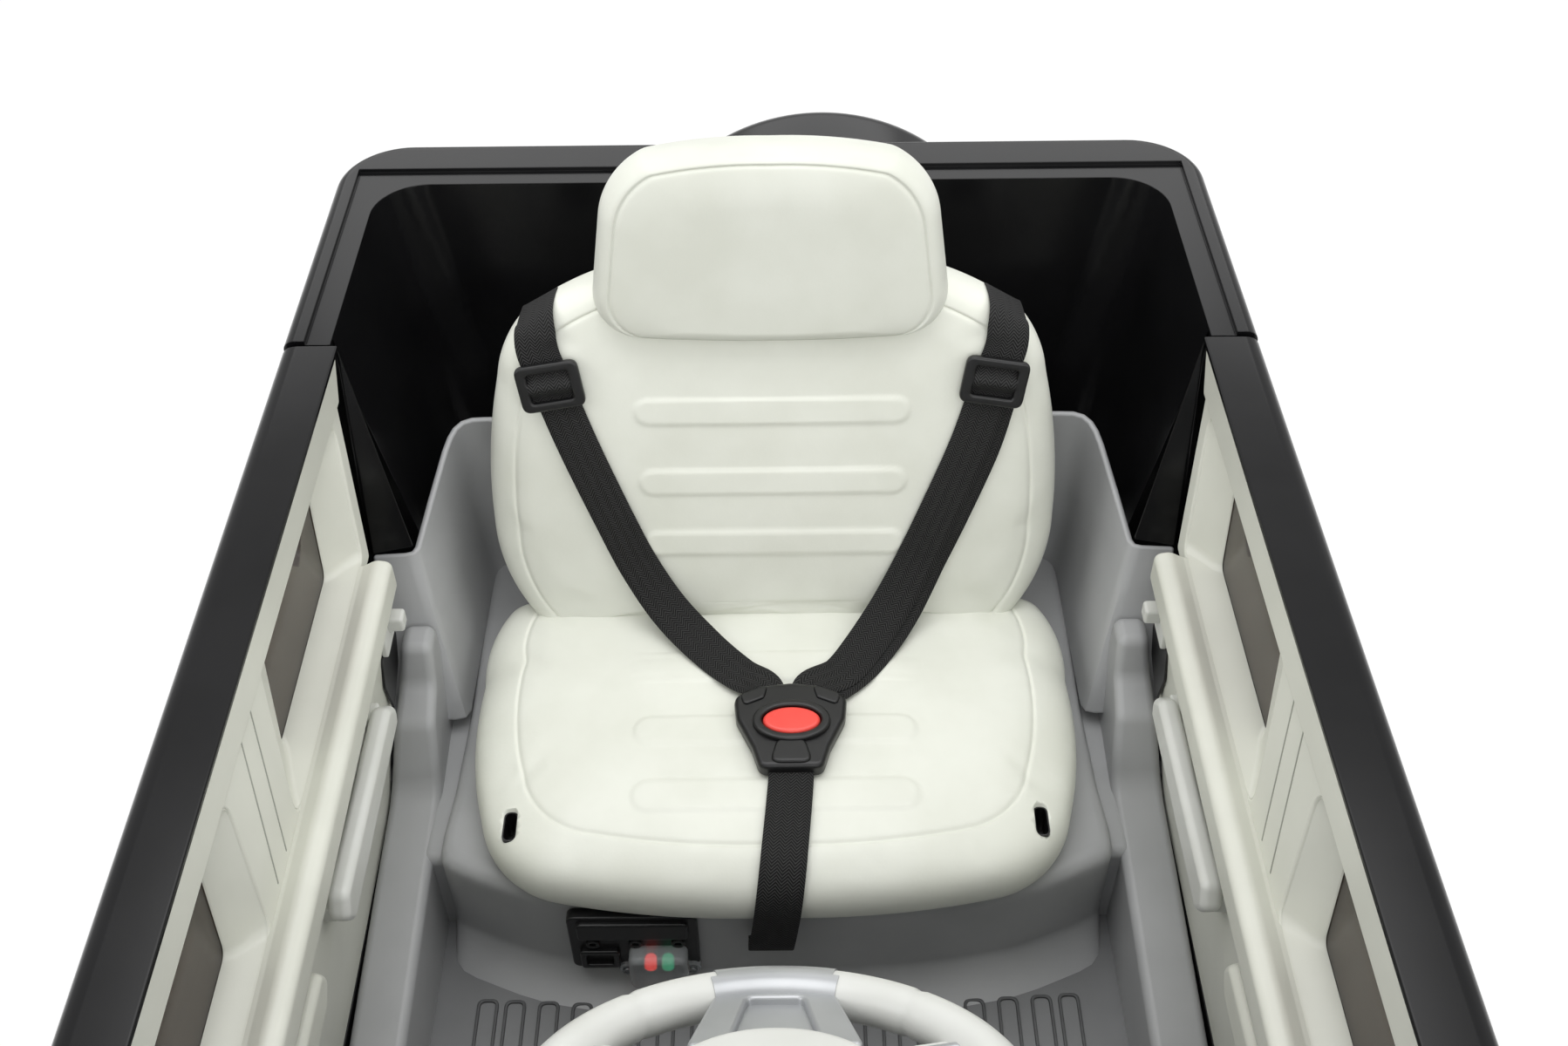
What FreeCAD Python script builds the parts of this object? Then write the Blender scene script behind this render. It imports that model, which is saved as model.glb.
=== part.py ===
import FreeCAD
import Part
import Sketcher
import math
import os
from FreeCAD import Placement, Rotation, Vector

# A battery-powered ride-on car for one small child: an open, boxy off-roader with hinged doors.
# Millimetres. X runs across the car (+X is the driver's left), the nose points to -Y, Z is up.
# The origin lies on the ground under the middle of the car.

SIZES = {
    # Values that every piece shares
    "wall": 5,
    "fit_gap": 0.3,
    "run_gap": 0.05,
    "overrun": 20,
    # Overall body
    "body_half_width": 300,
    "rail_top": 480,
    "belt_height": 372,
    "nose_gap": 35,
    "tail_gap": 40,
    "bumper_top": 178,
    # Axles and wheels
    "front_arch_pillar": 7,
    "wheel_radius": 125,
    "wheel_width": 85,
    "wheel_inset": 68,
    "axle_radius": 6,
    "axle_end_length": 8,
    "tyre_bead_radius": 86,
    "tyre_shoulder": 14,
    "tread_groove_width": 6,
    "tread_groove_depth": 5,
    "rim_lip": 9,
    "rim_dish_depth": 20,
    "rim_disc_thick": 8,
    "hub_radius": 22,
    "hub_cap_radius": 15,
    "hub_cap_height": 6,
    "rim_hole_radius": 13,
    "rim_hole_circle": 56,
    "rim_hole_count": 8,
    "arch_gap": 15,
    "flare_width": 16,
    "flare_depth": 18,
    # Chassis pan
    "pan_bottom": 90,
    "pan_thick": 8,
    "pan_inset": 38,
    "pan_waist_setback": 33,
    "pan_waist_rear": 195,
    "pan_nose_inset": 55,
    "pan_tail_inset": 72,
    "pan_tail_setback": 15,
    "beam_depth": 26,
    "bracket_gap": 11,
    "bracket_thick": 8,
    "bracket_width": 40,
    "bracket_head": 16,
    "post_reach": 100,
    "post_width": 30,
    "post_setback": 75,
    # Steering knuckles and linkage
    "kingpin_inset": 27,
    "kingpin_radius": 6,
    "boss_radius": 12,
    "boss_bottom": 104,
    "boss_top": 160,
    "yoke_thick": 8,
    "yoke_clearance": 2,
    "crank_swing": 8,
    "arm_pin_radius": 4,
    "arm_width": 14,
    "tie_rod_bottom": 108,
    "tie_rod_thick": 8,
    "tie_rod_width": 14,
    "tie_rod_eye": 14,
    "tie_rod_slack": 5.2,
    "tie_rod_plate_length": 48,
    "tie_rod_plate_width": 40,
    "crank_slot_length": 31,
    "crank_slot_shift": 3,
    "crank_slack": 1.2,
    "crank_radius": 35,
    "crank_pin_radius": 4,
    "crank_pin_length": 43,
    "crank_arm_width": 14,
    "crank_arm_thick": 10,
    # Floor tub with sills and seat pedestal
    "floor_top": 130,
    "floor_thick": 8,
    "tub_setback": 23,
    "tub_inset": 44,
    "sill_width": 32,
    "sill_front_height": 176,
    "sill_middle_height": 208,
    "sill_rear_height": 250,
    "sill_horn_height": 290,
    "sill_horn_rear": 230,
    "sill_horn_front": 204,
    "sill_slope_rear": 188,
    "sill_slope_middle": 85,
    "sill_round": 7,
    "toe_board_top": 262,
    "pedestal_inset": 88,
    "pedestal_front": 55,
    "pedestal_top": 218,
    "pedestal_waist": 280,
    "shelf_bottom": 175,
    "hatch_inset": 62,
    "hatch_front": 95,
    "hatch_rear": 272,
    # Grey surround behind and beside the seat
    "bulkhead_front": 352,
    "surround_top": 362,
    "surround_inset": 77,
    "wing_front": 256,
    "wing_top": 330,
    "wing_inset": 63,
    "wing_outer_inset": 43,
    "pedestal_ledge": 4,
    # Rear body shell
    "door_gap": 4,
    "shell_bottom": 150,
    "shell_corner_round": 48,
    "rail_round": 8,
    "rim_width": 29,
    "rim_rear_width": 48,
    "rim_depth": 24,
    "ledge_width": 15,
    "ledge_depth": 3,
    "cargo_floor": 278,
    "cargo_inset": 62,
    "cargo_setback": 67,
    "cargo_corner_round": 36,
    "dogleg_front": 180,
    "dogleg_bottom": 186,
    "dogleg_knee": 202,
    "dogleg_knee_height": 258,
    "dogleg_top": 288,
    "spare_radius": 139,
    "spare_thick": 65,
    "spare_offset": 37,
    "spare_round": 20,
    "spare_top": 471,
    "spare_dish_radius": 96,
    "spare_dish_depth": 6,
    "rear_bumper_proud": 35,
    "rear_bumper_bottom": 110,
    "rear_bumper_top": 192,
    "rear_bumper_inset": 8,
    "tail_light_width": 50,
    "tail_light_height": 34,
    "tail_light_depth": 12,
    "tail_light_inset": 78,
    "tail_light_lift": 14,
    # Nose: fenders, bonnet, grille and bumper
    "fender_width": 84,
    "fender_round": 12,
    "cowl_length": 62,
    "bonnet_thick": 20,
    "bonnet_rise": 16,
    "bonnet_flank_inset": 88,
    "bonnet_flank_run": 26,
    "bonnet_round": 5,
    "grille_thick": 14,
    "grille_slot_count": 5,
    "grille_slot_height": 14,
    "grille_slot_pitch": 27,
    "grille_slot_inset": 46,
    "grille_slot_depth": 8,
    "grille_slot_base": 36,
    "front_bumper_proud": 20,
    "front_bumper_bottom": 88,
    "bumper_intake_half_width": 150,
    "bumper_intake_height": 34,
    "bumper_intake_depth": 10,
    "bumper_round": 8,
    "headlight_inset": 44,
    "headlight_height": 296,
    "headlight_radius": 33,
    "bezel_width": 7,
    "bezel_depth": 12,
    "lens_bulge": 5,
    # Side steps
    "step_setback": 20,
    "step_rear": 176,
    "step_proud": 30,
    "step_thick": 14,
    "step_slope": 6,
    # Dashboard, cowl and windscreen
    "dash_inset": 62,
    "dash_depth": 58,
    "dash_face_bottom": 300,
    "dash_face_top": 385,
    "dash_top": 400,
    "dash_crest_depth": 40,
    "dash_heel_depth": 32,
    "start_button_reach": 130,
    "start_button_height": 345,
    "start_button_radius": 11,
    "start_button_proud": 4,
    "start_button_travel": 3,
    "button_seat_depth": 9,
    "screen_setback": 47,
    "screen_inset": 14,
    "screen_height": 150,
    "screen_bar": 20,
    "screen_thick": 14,
    "screen_rake": 8,
    "screen_corner_round": 26,
    "pane_thick": 3,
    # Steering wheel and column
    "wheel_centre_gap": 24,
    "wheel_centre_height": 403,
    "column_foot_height": 157.25,
    "ring_radius": 113.5,
    "ring_tube_radius": 12.5,
    "hub_disc_radius": 47,
    "hub_disc_depth": 16,
    "hub_disc_rise": 10,
    "spoke_width": 34,
    "spoke_thick": 9,
    "lower_spoke_width": 52,
    "column_radius": 8,
    "column_foot_gap": 56.93,
    "column_socket": 8,
    "horn_radius": 24,
    "horn_proud": 3,
    "horn_thick": 8,
    "horn_travel": 2.5,
    # Pedal
    "pedal_half_width": 30,
    "pedal_reach": 90,
    "pedal_heel_gap": 103,
    "pedal_heel_height": 8,
    "pedal_length": 84,
    "pedal_rise": 34,
    "pedal_thick": 8,
    "pedal_pin_radius": 3,
    "pedal_lug_thick": 4,
    "pedal_lug_radius": 7,
    # Doors, drawn for the +X side
    "door_front": 234,
    "door_rear": 288,
    "door_bottom": 190,
    "skin_thick": 9,
    "door_rail_width": 30,
    "door_rail_depth": 24,
    "door_notch_foot": 174,
    "door_notch_knee": 196,
    "door_notch_knee_height": 264,
    "door_notch_top": 294,
    "window_bottom": 378,
    "window_front_gap": 30,
    "window_rear": 211,
    "pillar_middle": 23,
    "pillar_half_width": 33,
    "window_lean": 26,
    "window_round": 9,
    "pane_lap": 7,
    "panel_depth": 33,
    "panel_margin": 5,
    "trim_strip_depth": 36,
    "trim_strip_height": 34,
    "roll_depth": 58,
    "roll_top": 374,
    "roll_height": 32,
    "roll_round": 9,
    "hinge_axis_proud": 5,
    "hinge_radius": 4,
    "hinge_peg_radius": 2.4,
    "hinge_peg_length": 13,
    "hinge_leaf_thick": 3.5,
    "hinge_leaf_length": 26,
    "hinge_barrel": 16,
    "hinge_low": 226,
    "hinge_high": 326,
    "pull_front": 25,
    "pull_rear": 150,
    "pull_bottom": 300,
    "pull_height": 18,
    "pull_depth": 60,
    "pull_thick": 11,
    "pull_foot": 24,
    "pull_round": 4,
    "latch_front": 184,
    "latch_length": 24,
    "latch_bottom": 306,
    "latch_height": 24,
    "latch_thick": 5,
    "latch_tab": 12,
    "latch_tab_reach": 10,
    "mirror_setback": 66,
    "mirror_depth": 30,
    "mirror_bottom": 350,
    "mirror_height": 54,
    "mirror_width": 52,
    "mirror_foot": 10,
    "mirror_foot_height": 16,
    "mirror_round": 7,
    # Seat
    "seat_inset": 17,
    "seat_front": 46,
    "seat_depth": 226,
    "seat_thick": 44,
    "seat_crown": 5,
    "seat_roll": 26,
    "back_foot": 255,
    "back_foot_height": 265,
    "back_lean": 16,
    "back_inset": 34,
    "back_height": 254,
    "back_thick": 46,
    "back_roll": 20,
    "back_crown": 5,
    "channel_count": 3,
    "channel_inset": 105,
    "channel_height": 17,
    "channel_rise": 1.6,
    "channel_pitch": 50,
    "channel_base": 47,
    "headrest_inset": 48,
    "headrest_height": 110,
    "headrest_thick": 62,
    "headrest_base": 221,
    "headrest_roll": 18,
    "back_tongue_inset": 3,
    "back_tongue_thick": 26,
    "seat_screw_inset": 35,
    "seat_screw_front": 88,
    "seat_screw_radius": 2.5,
    "seat_screw_head_radius": 5,
    "seat_screw_head_height": 4,
    "seat_screw_well_radius": 8,
    "seat_screw_floor": 12,
    # Harness
    "strap_width": 27,
    "strap_thick": 1.6,
    "strap_clearance": 0.6,
    "strap_bridge": 17,
    "shoulder_inset": 36,
    "buckle_offset": 10,
    "buckle_middle": 150,
    "buckle_half_width": 31,
    "buckle_length": 62,
    "buckle_thick": 16,
    "buckle_button_half_width": 19,
    "buckle_button_half_length": 11,
    "buckle_button_proud": 2.5,
    "buckle_button_travel": 2,
    "buckle_button_thick": 7,
    "strap_tail_drop": 22,
    "adjuster_width": 40,
    "adjuster_length": 30,
    "adjuster_thick": 5,
    "adjuster_bar": 5,
    # Charging socket
    "charge_middle": 90,
    "charge_width": 84,
    "charge_bottom": 143,
    "charge_height": 70,
    "charge_plate_thick": 4,
    "charge_box_depth": 30,
    "charge_border": 7,
    "indicator_middle": 76,
    "indicator_width": 32,
    "indicator_bottom": 148,
    "indicator_height": 30,
    "indicator_depth": 12,
    "indicator_ear": 9,
    "indicator_ear_thick": 3,
    # Electrics under the seat and drive
    "battery_length": 151,
    "battery_width": 94,
    "battery_height": 65,
    "battery_front": 130,
    "battery_reach": 60,
    "terminal_width": 8,
    "terminal_height": 6,
    "terminal_inset": 16,
    "control_width": 80,
    "control_length": 112,
    "control_height": 36,
    "control_inset": 92,
    "gearbox_width": 54,
    "gearbox_gap": 6,
    "gearbox_front": 46,
    "gearbox_rear": 34,
    "gearbox_bottom": 24,
    "gearbox_top": 42,
    "gearbox_round": 10,
    "motor_radius": 18,
    "motor_length": 58,
    "motor_lift": 16,
}


class Size(float):
    """A number that remembers the spreadsheet formula it was worked out from."""

    def __new__(cls, number, formula):
        size = super().__new__(cls, number)
        size.formula = formula
        return size

    def __add__(self, other):
        return Size(float(self) + float(other), f"({self.formula} + {formula_of(other)})")

    def __radd__(self, other):
        return Size(float(other) + float(self), f"({formula_of(other)} + {self.formula})")

    def __sub__(self, other):
        return Size(float(self) - float(other), f"({self.formula} - {formula_of(other)})")

    def __rsub__(self, other):
        return Size(float(other) - float(self), f"({formula_of(other)} - {self.formula})")

    def __mul__(self, other):
        return Size(float(self) * float(other), f"({self.formula} * {formula_of(other)})")

    def __rmul__(self, other):
        return Size(float(other) * float(self), f"({formula_of(other)} * {self.formula})")

    def __truediv__(self, other):
        return Size(float(self) / float(other), f"({self.formula} / {formula_of(other)})")

    def __neg__(self):
        return Size(-float(self), f"(-{self.formula})")


def formula_of(number):
    """The spreadsheet formula of a Size, or a plain number as text."""
    if isinstance(number, Size):
        return number.formula
    return repr(float(number))


class Values:
    """The spreadsheet's cells as attributes, each a Size."""


doc = FreeCAD.newDocument("ride_on_car")
sheet = doc.addObject("Spreadsheet::Sheet", "Sizes")
v = Values()
for row, (alias, number) in enumerate(SIZES.items(), 1):
    sheet.set(f"A{row}", alias)
    sheet.set(f"B{row}", str(number))
    sheet.setAlias(f"B{row}", alias)
doc.recompute()
for alias in SIZES:
    setattr(v, alias, Size(sheet.get(alias), f"Sizes.{alias}"))

# Sizes that follow from others. Widths are set in from the body's side or out from it.

v.wheel_inner_face = v.body_half_width - v.wheel_inset
v.kingpin_reach = v.wheel_inner_face - v.kingpin_inset
v.pan_half_width = v.body_half_width - v.pan_inset
v.pan_nose_half_width = v.kingpin_reach - v.pan_nose_inset
v.pan_tail_half_width = v.wheel_inner_face - v.pan_tail_inset
v.gearbox_inner = v.wheel_inner_face - v.gearbox_gap - v.gearbox_width
v.bracket_reach = v.gearbox_inner - v.motor_length - v.bracket_gap - v.bracket_thick
v.tub_half_width = v.body_half_width - v.tub_inset
v.pedestal_half_width = v.body_half_width - v.pedestal_inset
v.hatch_half_width = v.pedestal_half_width - v.hatch_inset
v.control_reach = v.pedestal_half_width - v.control_inset
v.surround_half_width = v.body_half_width - v.surround_inset
v.wing_half_width = v.body_half_width - v.wing_inset
v.wing_outer = v.body_half_width - v.wing_outer_inset
v.cargo_half_width = v.body_half_width - v.cargo_inset
v.rear_bumper_half_width = v.body_half_width - v.rear_bumper_inset
v.tail_light_reach = v.body_half_width - v.tail_light_inset
v.fender_inner = v.body_half_width - v.fender_width
v.bonnet_flank = v.fender_inner - v.bonnet_flank_inset
v.grille_slot_half_length = v.fender_inner - v.grille_slot_inset
v.headlight_reach = v.body_half_width - v.headlight_inset
v.step_half_width = v.body_half_width + v.step_proud
v.dash_half_width = v.body_half_width - v.dash_inset
v.screen_half_width = v.body_half_width - v.screen_inset
v.door_rail_inner = v.body_half_width - v.door_rail_width
v.panel_inner = v.body_half_width - v.panel_depth
v.trim_strip_inner = v.body_half_width - v.trim_strip_depth
v.roll_inner = v.body_half_width - v.roll_depth
v.pull_inner = v.body_half_width - v.pull_depth
v.hinge_axis_reach = v.body_half_width + v.hinge_axis_proud
v.seat_half_width = v.pedestal_half_width - v.seat_inset
v.seat_screw_reach = v.seat_half_width - v.seat_screw_inset
v.back_half_width = v.surround_half_width - v.back_inset
v.channel_half_length = v.back_half_width - v.channel_inset
v.shoulder_reach = v.back_half_width - v.shoulder_inset
v.headrest_half_width = v.shoulder_reach - v.headrest_inset
v.back_tongue_half_width = v.headrest_half_width - v.back_tongue_inset

# Lengths run outwards from the doors: fender, wheel arch and nose in front, shell and arch behind.

arch_radius = v.wheel_radius + v.arch_gap
v.fender_rear = v.door_front + v.door_gap
v.hinge_axis_front = v.door_front + v.door_gap / 2
v.front_axle_reach = v.fender_rear + v.front_arch_pillar + arch_radius
v.nose_reach = v.front_axle_reach + arch_radius + v.nose_gap
v.front_bumper_reach = v.nose_reach + v.front_bumper_proud
v.bonnet_rear = v.fender_rear + v.cowl_length
v.screen_base = v.fender_rear + v.screen_setback
v.tub_front = v.fender_rear - v.tub_setback
v.step_front = v.fender_rear - v.step_setback
v.pan_waist_front = v.fender_rear - v.pan_waist_setback
v.dash_face = v.fender_rear - v.dash_depth
v.dash_crest = v.fender_rear - v.dash_crest_depth
v.dash_heel = v.fender_rear - v.dash_heel_depth
v.pedal_heel = v.tub_front - v.pedal_heel_gap
v.window_front = v.door_front - v.window_front_gap
v.mirror_rear = v.door_front - v.mirror_setback
v.shell_front = v.door_rear + v.door_gap
v.rear_axle_reach = v.pan_waist_rear + arch_radius
v.tail_reach = v.rear_axle_reach + arch_radius + v.tail_gap
v.pan_tail_reach = v.tail_reach - v.pan_tail_setback
v.post_front = v.tail_reach - v.post_setback
v.cargo_rear = v.tail_reach - v.cargo_setback
v.rear_bumper_reach = v.tail_reach + v.rear_bumper_proud

# The steering column leans from its foot at the linkage up to the wheel's middle.

v.wheel_centre_reach = v.dash_face - v.wheel_centre_gap
column_run = v.front_axle_reach - v.column_foot_gap - v.wheel_centre_reach
column_drop = v.wheel_centre_height - v.column_foot_height
column_tilt = math.atan2(column_run, column_drop)
v.column_length = Size(
    math.hypot(column_run, column_drop), f"sqrt({column_run.formula} ^ 2 + {column_drop.formula} ^ 2)"
)


sub_parts = {}


# Drawing helpers

def bind(thing, name, size):
    """Ties a property of a document object to the formula of a size."""
    thing.setExpression(name, formula_of(size))


def keep(label, thing):
    """Names a finished sub-part, which is then written to its own file."""
    thing.Label = label
    sub_parts[label] = thing
    return thing


def new_body(name):
    return doc.addObject("PartDesign::Body", name)


def sketch_at(body, plane, height):
    """An empty sketch across the body at a height along the plane's own world axis."""
    sketch = body.newObject("Sketcher::SketchObject", f"{body.Name}_sketch")
    origin = [o for o in body.Origin.OriginFeatures if o.Role == f"{plane}_Plane"]
    sketch.AttachmentSupport = [(origin[0], "")]
    sketch.MapMode = "FlatFace"
    offset = -height if plane == "XZ" else height
    bind(sketch, "AttachmentOffset.Base.z", offset)
    return sketch


def tie_point(sketch, edge, end, point):
    """Fixes one end of an edge at a point whose coordinates are sizes."""
    for kind, size in zip(("DistanceX", "DistanceY"), point):
        rule = sketch.addConstraint(Sketcher.Constraint(kind, -1, 1, edge, end, float(size)))
        sketch.setExpression(f"Constraints[{rule}]", formula_of(size))


def draw_outline(sketch, points):
    """A closed outline of straight edges, each corner tied to its sizes."""
    first = sketch.GeometryCount
    count = len(points)
    for i, point in enumerate(points):
        start = Vector(float(point[0]), float(point[1]), 0)
        end = Vector(*[float(c) for c in points[(i + 1) % count]], 0)
        sketch.addGeometry(Part.LineSegment(start, end))
    for i, point in enumerate(points):
        following = first + (i + 1) % count
        sketch.addConstraint(Sketcher.Constraint("Coincident", first + i, 2, following, 1))
        tie_point(sketch, first + i, 1, point)


def draw_circle(sketch, middle, radius):
    edge = sketch.GeometryCount
    centre = Vector(float(middle[0]), float(middle[1]), 0)
    sketch.addGeometry(Part.Circle(centre, Vector(0, 0, 1), float(radius)))
    rule = sketch.addConstraint(Sketcher.Constraint("Radius", edge, float(radius)))
    sketch.setExpression(f"Constraints[{rule}]", formula_of(radius))
    tie_point(sketch, edge, 3, middle)


def draw(sketch, loops):
    """Each loop is a list of corner points, or a pair of a middle point and a radius."""
    for loop in loops:
        if isinstance(loop, tuple):
            draw_circle(sketch, *loop)
        else:
            draw_outline(sketch, loop)


def add(body, plane, low, high, *loops):
    """Pads loops from low to high along the world axis that the plane faces."""
    sketch = sketch_at(body, plane, high if plane == "XZ" else low)
    draw(sketch, loops)
    pad = body.newObject("PartDesign::Pad", f"{body.Name}_pad")
    pad.Profile = sketch
    bind(pad, "Length", high - low)
    return pad


def cut(body, plane, low, high, *loops):
    """Removes loops from low to high along the world axis that the plane faces."""
    sketch = sketch_at(body, plane, low if plane == "XZ" else high)
    draw(sketch, loops)
    pocket = body.newObject("PartDesign::Pocket", f"{body.Name}_pocket")
    pocket.Profile = sketch
    bind(pocket, "Length", high - low)
    return pocket


def turn(body, points):
    """Revolves an outline of (along X, out from X) points about the X axis."""
    sketch = sketch_at(body, "XY", Size(0, "0"))
    draw_outline(sketch, points)
    turned = body.newObject("PartDesign::Revolution", f"{body.Name}_turned")
    turned.Profile = sketch
    turned.ReferenceAxis = (sketch, ["H_Axis"])
    turned.Angle = 360
    return turned


def round_edges(body, radius, test):
    """Rounds those edges of the body so far whose two ends pass a test."""
    doc.recompute()
    base = body.Tip
    names = []
    for number, edge in enumerate(base.Shape.Edges, 1):
        if test(edge.Vertexes[0].Point, edge.Vertexes[-1].Point):
            names.append(f"Edge{number}")
    fillet = body.newObject("PartDesign::Fillet", f"{body.Name}_fillet")
    fillet.Base = (base, names)
    bind(fillet, "Radius", radius)
    return fillet


def near(a, b):
    return abs(a - b) < float(v.fit_gap)


def along(a, b, axis):
    """True if the edge from a to b runs along one world axis: 0, 1 or 2."""
    return all(near(a[i], b[i]) for i in range(3) if i != axis) and not near(a[axis], b[axis])


def box_loop(x_low, x_high, y_low, y_high):
    return [(x_low, y_low), (x_high, y_low), (x_high, y_high), (x_low, y_high)]


def mirrored(label, source):
    """The same piece on the other side of the car."""
    copy = doc.addObject("Part::Mirroring", label)
    copy.Source = source
    copy.Normal = Vector(1, 0, 0)
    return copy


def pair(label, source):
    """A piece and its mirror image in one node."""
    group = doc.addObject("Part::Compound", label)
    group.Links = [source, mirrored(f"{label}_other", source)]
    return keep(label, group)


def place(thing, x, y, z):
    for name, size in zip("xyz", (x, y, z)):
        bind(thing, f"Placement.Base.{name}", size)


def rod(name, radius, length, start, axis):
    """A plain round bar from a start point along a world direction."""
    bar = doc.addObject("Part::Cylinder", name)
    bind(bar, "Radius", radius)
    bind(bar, "Height", length)
    bar.Placement = Placement(Vector(), Rotation(Vector(0, 0, 1), axis))
    place(bar, *start)
    return bar


def boolean(kind, name, base, tool):
    """Part::Cut, Part::Fuse or Part::Common of two document objects."""
    result = doc.addObject(f"Part::{kind}", name)
    result.Base = base
    result.Tool = tool
    return result


def solid_feature(label, shape, placement=None):
    """A sub-part whose shape is worked out here from the sheet's sizes."""
    feature = doc.addObject("Part::Feature", label)
    feature.Shape = shape
    if placement is not None:
        feature.Placement = placement.multiply(feature.Placement)
    return keep(label, feature)


# Places that several pieces share

zero = Size(0, "0")
pan_top = v.pan_bottom + v.pan_thick
axle_height = v.wheel_radius
wheel_middle = v.wheel_inner_face + v.wheel_width / 2
front_axle = -v.front_axle_reach
rear_axle = v.rear_axle_reach
skin_inner = v.body_half_width - v.skin_thick
bulkhead_rear = v.bulkhead_front + v.wall
seat_top = v.pedestal_top + v.seat_thick
hinge_levels = (v.hinge_low, v.hinge_high)


# Chassis: the pan with its front axle beam and rear axle brackets

def make_chassis_pan():
    body = new_body("chassis_pan")
    half = [
        (v.pan_nose_half_width, -v.nose_reach + v.grille_thick),
        (v.pan_nose_half_width, -v.pan_waist_front),
        (v.pan_half_width, -v.pan_waist_front),
        (v.pan_half_width, v.pan_waist_rear),
        (v.pan_tail_half_width, v.pan_waist_rear),
        (v.pan_tail_half_width, v.pan_tail_reach),
    ]
    other = [(-x, y) for x, y in reversed(half)]
    add(body, "XY", v.pan_bottom, pan_top, half + other)
    beam_half = [
        (v.pan_nose_half_width, pan_top),
        (v.pan_nose_half_width, v.boss_bottom),
        (v.kingpin_reach, v.boss_bottom),
        (v.kingpin_reach, v.boss_top),
    ]
    beam_other = [(-x, z) for x, z in reversed(beam_half)]
    beam_front = front_axle - v.beam_depth / 2
    add(body, "XZ", beam_front, beam_front + v.beam_depth, beam_half + beam_other)
    for side in (1, -1):
        boss = (side * v.kingpin_reach, front_axle)
        add(body, "XY", v.boss_bottom, v.boss_top, (boss, v.boss_radius))
        bore = v.kingpin_radius + v.run_gap
        cut(body, "XY", v.boss_bottom - v.overrun, v.boss_top + v.overrun, (boss, bore))
        bracket = box_loop(
            rear_axle - v.bracket_width / 2,
            rear_axle + v.bracket_width / 2,
            pan_top,
            axle_height + v.bracket_head,
        )
        low = v.bracket_reach if side > 0 else -v.bracket_reach - v.bracket_thick
        add(body, "YZ", low, low + v.bracket_thick, bracket)
        low = v.post_reach if side > 0 else -v.post_reach - v.post_width
        post = box_loop(low, low + v.post_width, v.post_front, v.post_front + v.post_width)
        add(body, "XY", pan_top, v.cargo_floor - v.wall, post)
    reach = v.bracket_reach + v.bracket_thick + v.overrun
    axle_bore = ((rear_axle, axle_height), v.axle_radius + v.run_gap)
    cut(body, "YZ", -reach, reach, axle_bore)
    return keep("chassis_pan", body)


# Grey interior: floor with sills, toe board and the box that the seat stands on

def sill_profile():
    """Side view of a sill: low at the feet, then climbing to a horn beside the seat."""
    rear = v.pan_waist_rear
    return [
        (-v.tub_front, pan_top),
        (rear, pan_top),
        (rear, v.door_bottom + v.wall * 3),
        (v.sill_horn_rear, v.door_bottom + v.wall * 3),
        (v.sill_horn_rear, v.sill_horn_height),
        (v.sill_horn_front, v.sill_horn_height),
        (v.sill_slope_rear, v.sill_rear_height),
        (v.sill_slope_middle, v.sill_middle_height),
        (-v.tub_front, v.sill_front_height),
    ]


def make_floor_tub():
    body = new_body("floor_tub")
    pedestal_rear = bulkhead_rear + v.pedestal_ledge
    half = [
        (v.tub_half_width, -v.tub_front),
        (v.tub_half_width, v.pan_waist_rear),
        (v.pedestal_half_width, v.pan_waist_rear),
        (v.pedestal_half_width, pedestal_rear),
    ]
    other = [(-x, y) for x, y in reversed(half)]
    add(body, "XY", v.floor_top - v.floor_thick, v.floor_top, half + other)
    sill_inner = v.tub_half_width - v.sill_width
    add(body, "YZ", sill_inner, v.tub_half_width, sill_profile())
    add(body, "YZ", -v.tub_half_width, -sill_inner, sill_profile())
    toe_rear = -v.tub_front + v.wall
    toe_board = box_loop(-v.tub_half_width, v.tub_half_width, -v.tub_front, toe_rear)
    add(body, "XY", pan_top, v.toe_board_top, toe_board)
    wide = v.pedestal_half_width
    outer = box_loop(-wide, wide, v.pedestal_front, pedestal_rear)
    add(body, "XY", v.floor_top, v.pedestal_top, outer)
    inner = box_loop(
        -wide + v.wall, wide - v.wall, v.pedestal_front + v.wall, pedestal_rear - v.wall
    )
    cut(body, "XY", v.floor_top, v.pedestal_top - v.wall, inner)
    reach = wide + v.overrun
    drive_space = box_loop(
        v.pedestal_waist + v.wall,
        pedestal_rear + v.overrun,
        v.floor_top - v.floor_thick - v.overrun,
        v.shelf_bottom,
    )
    cut(body, "YZ", -reach, reach, drive_space)
    waist = v.pedestal_waist
    partition = box_loop(-wide + v.wall, wide - v.wall, waist, waist + v.wall)
    add(body, "XY", v.floor_top, v.pedestal_top - v.wall, partition)
    hatch = box_loop(-v.hatch_half_width, v.hatch_half_width, v.hatch_front, v.hatch_rear)
    cut(body, "XY", v.pedestal_top - v.wall, v.pedestal_top, hatch)
    socket = box_loop(
        -v.charge_middle - v.charge_width / 2 + v.charge_border,
        -v.charge_middle + v.charge_width / 2 - v.charge_border,
        v.charge_bottom + v.charge_border,
        v.charge_bottom + v.charge_height - v.charge_border,
    )
    cut(body, "XZ", v.pedestal_front - v.overrun, v.pedestal_front + v.wall, socket)
    for side in (1, -1):
        hole = ((side * v.seat_screw_reach, v.seat_screw_front), v.seat_screw_radius + v.run_gap)
        cut(body, "XY", v.pedestal_top - v.wall, v.pedestal_top, hole)
    add_pedal_lugs(body)
    round_edges(body, v.sill_round, is_sill_crest)
    return keep("floor_tub", body)


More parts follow.
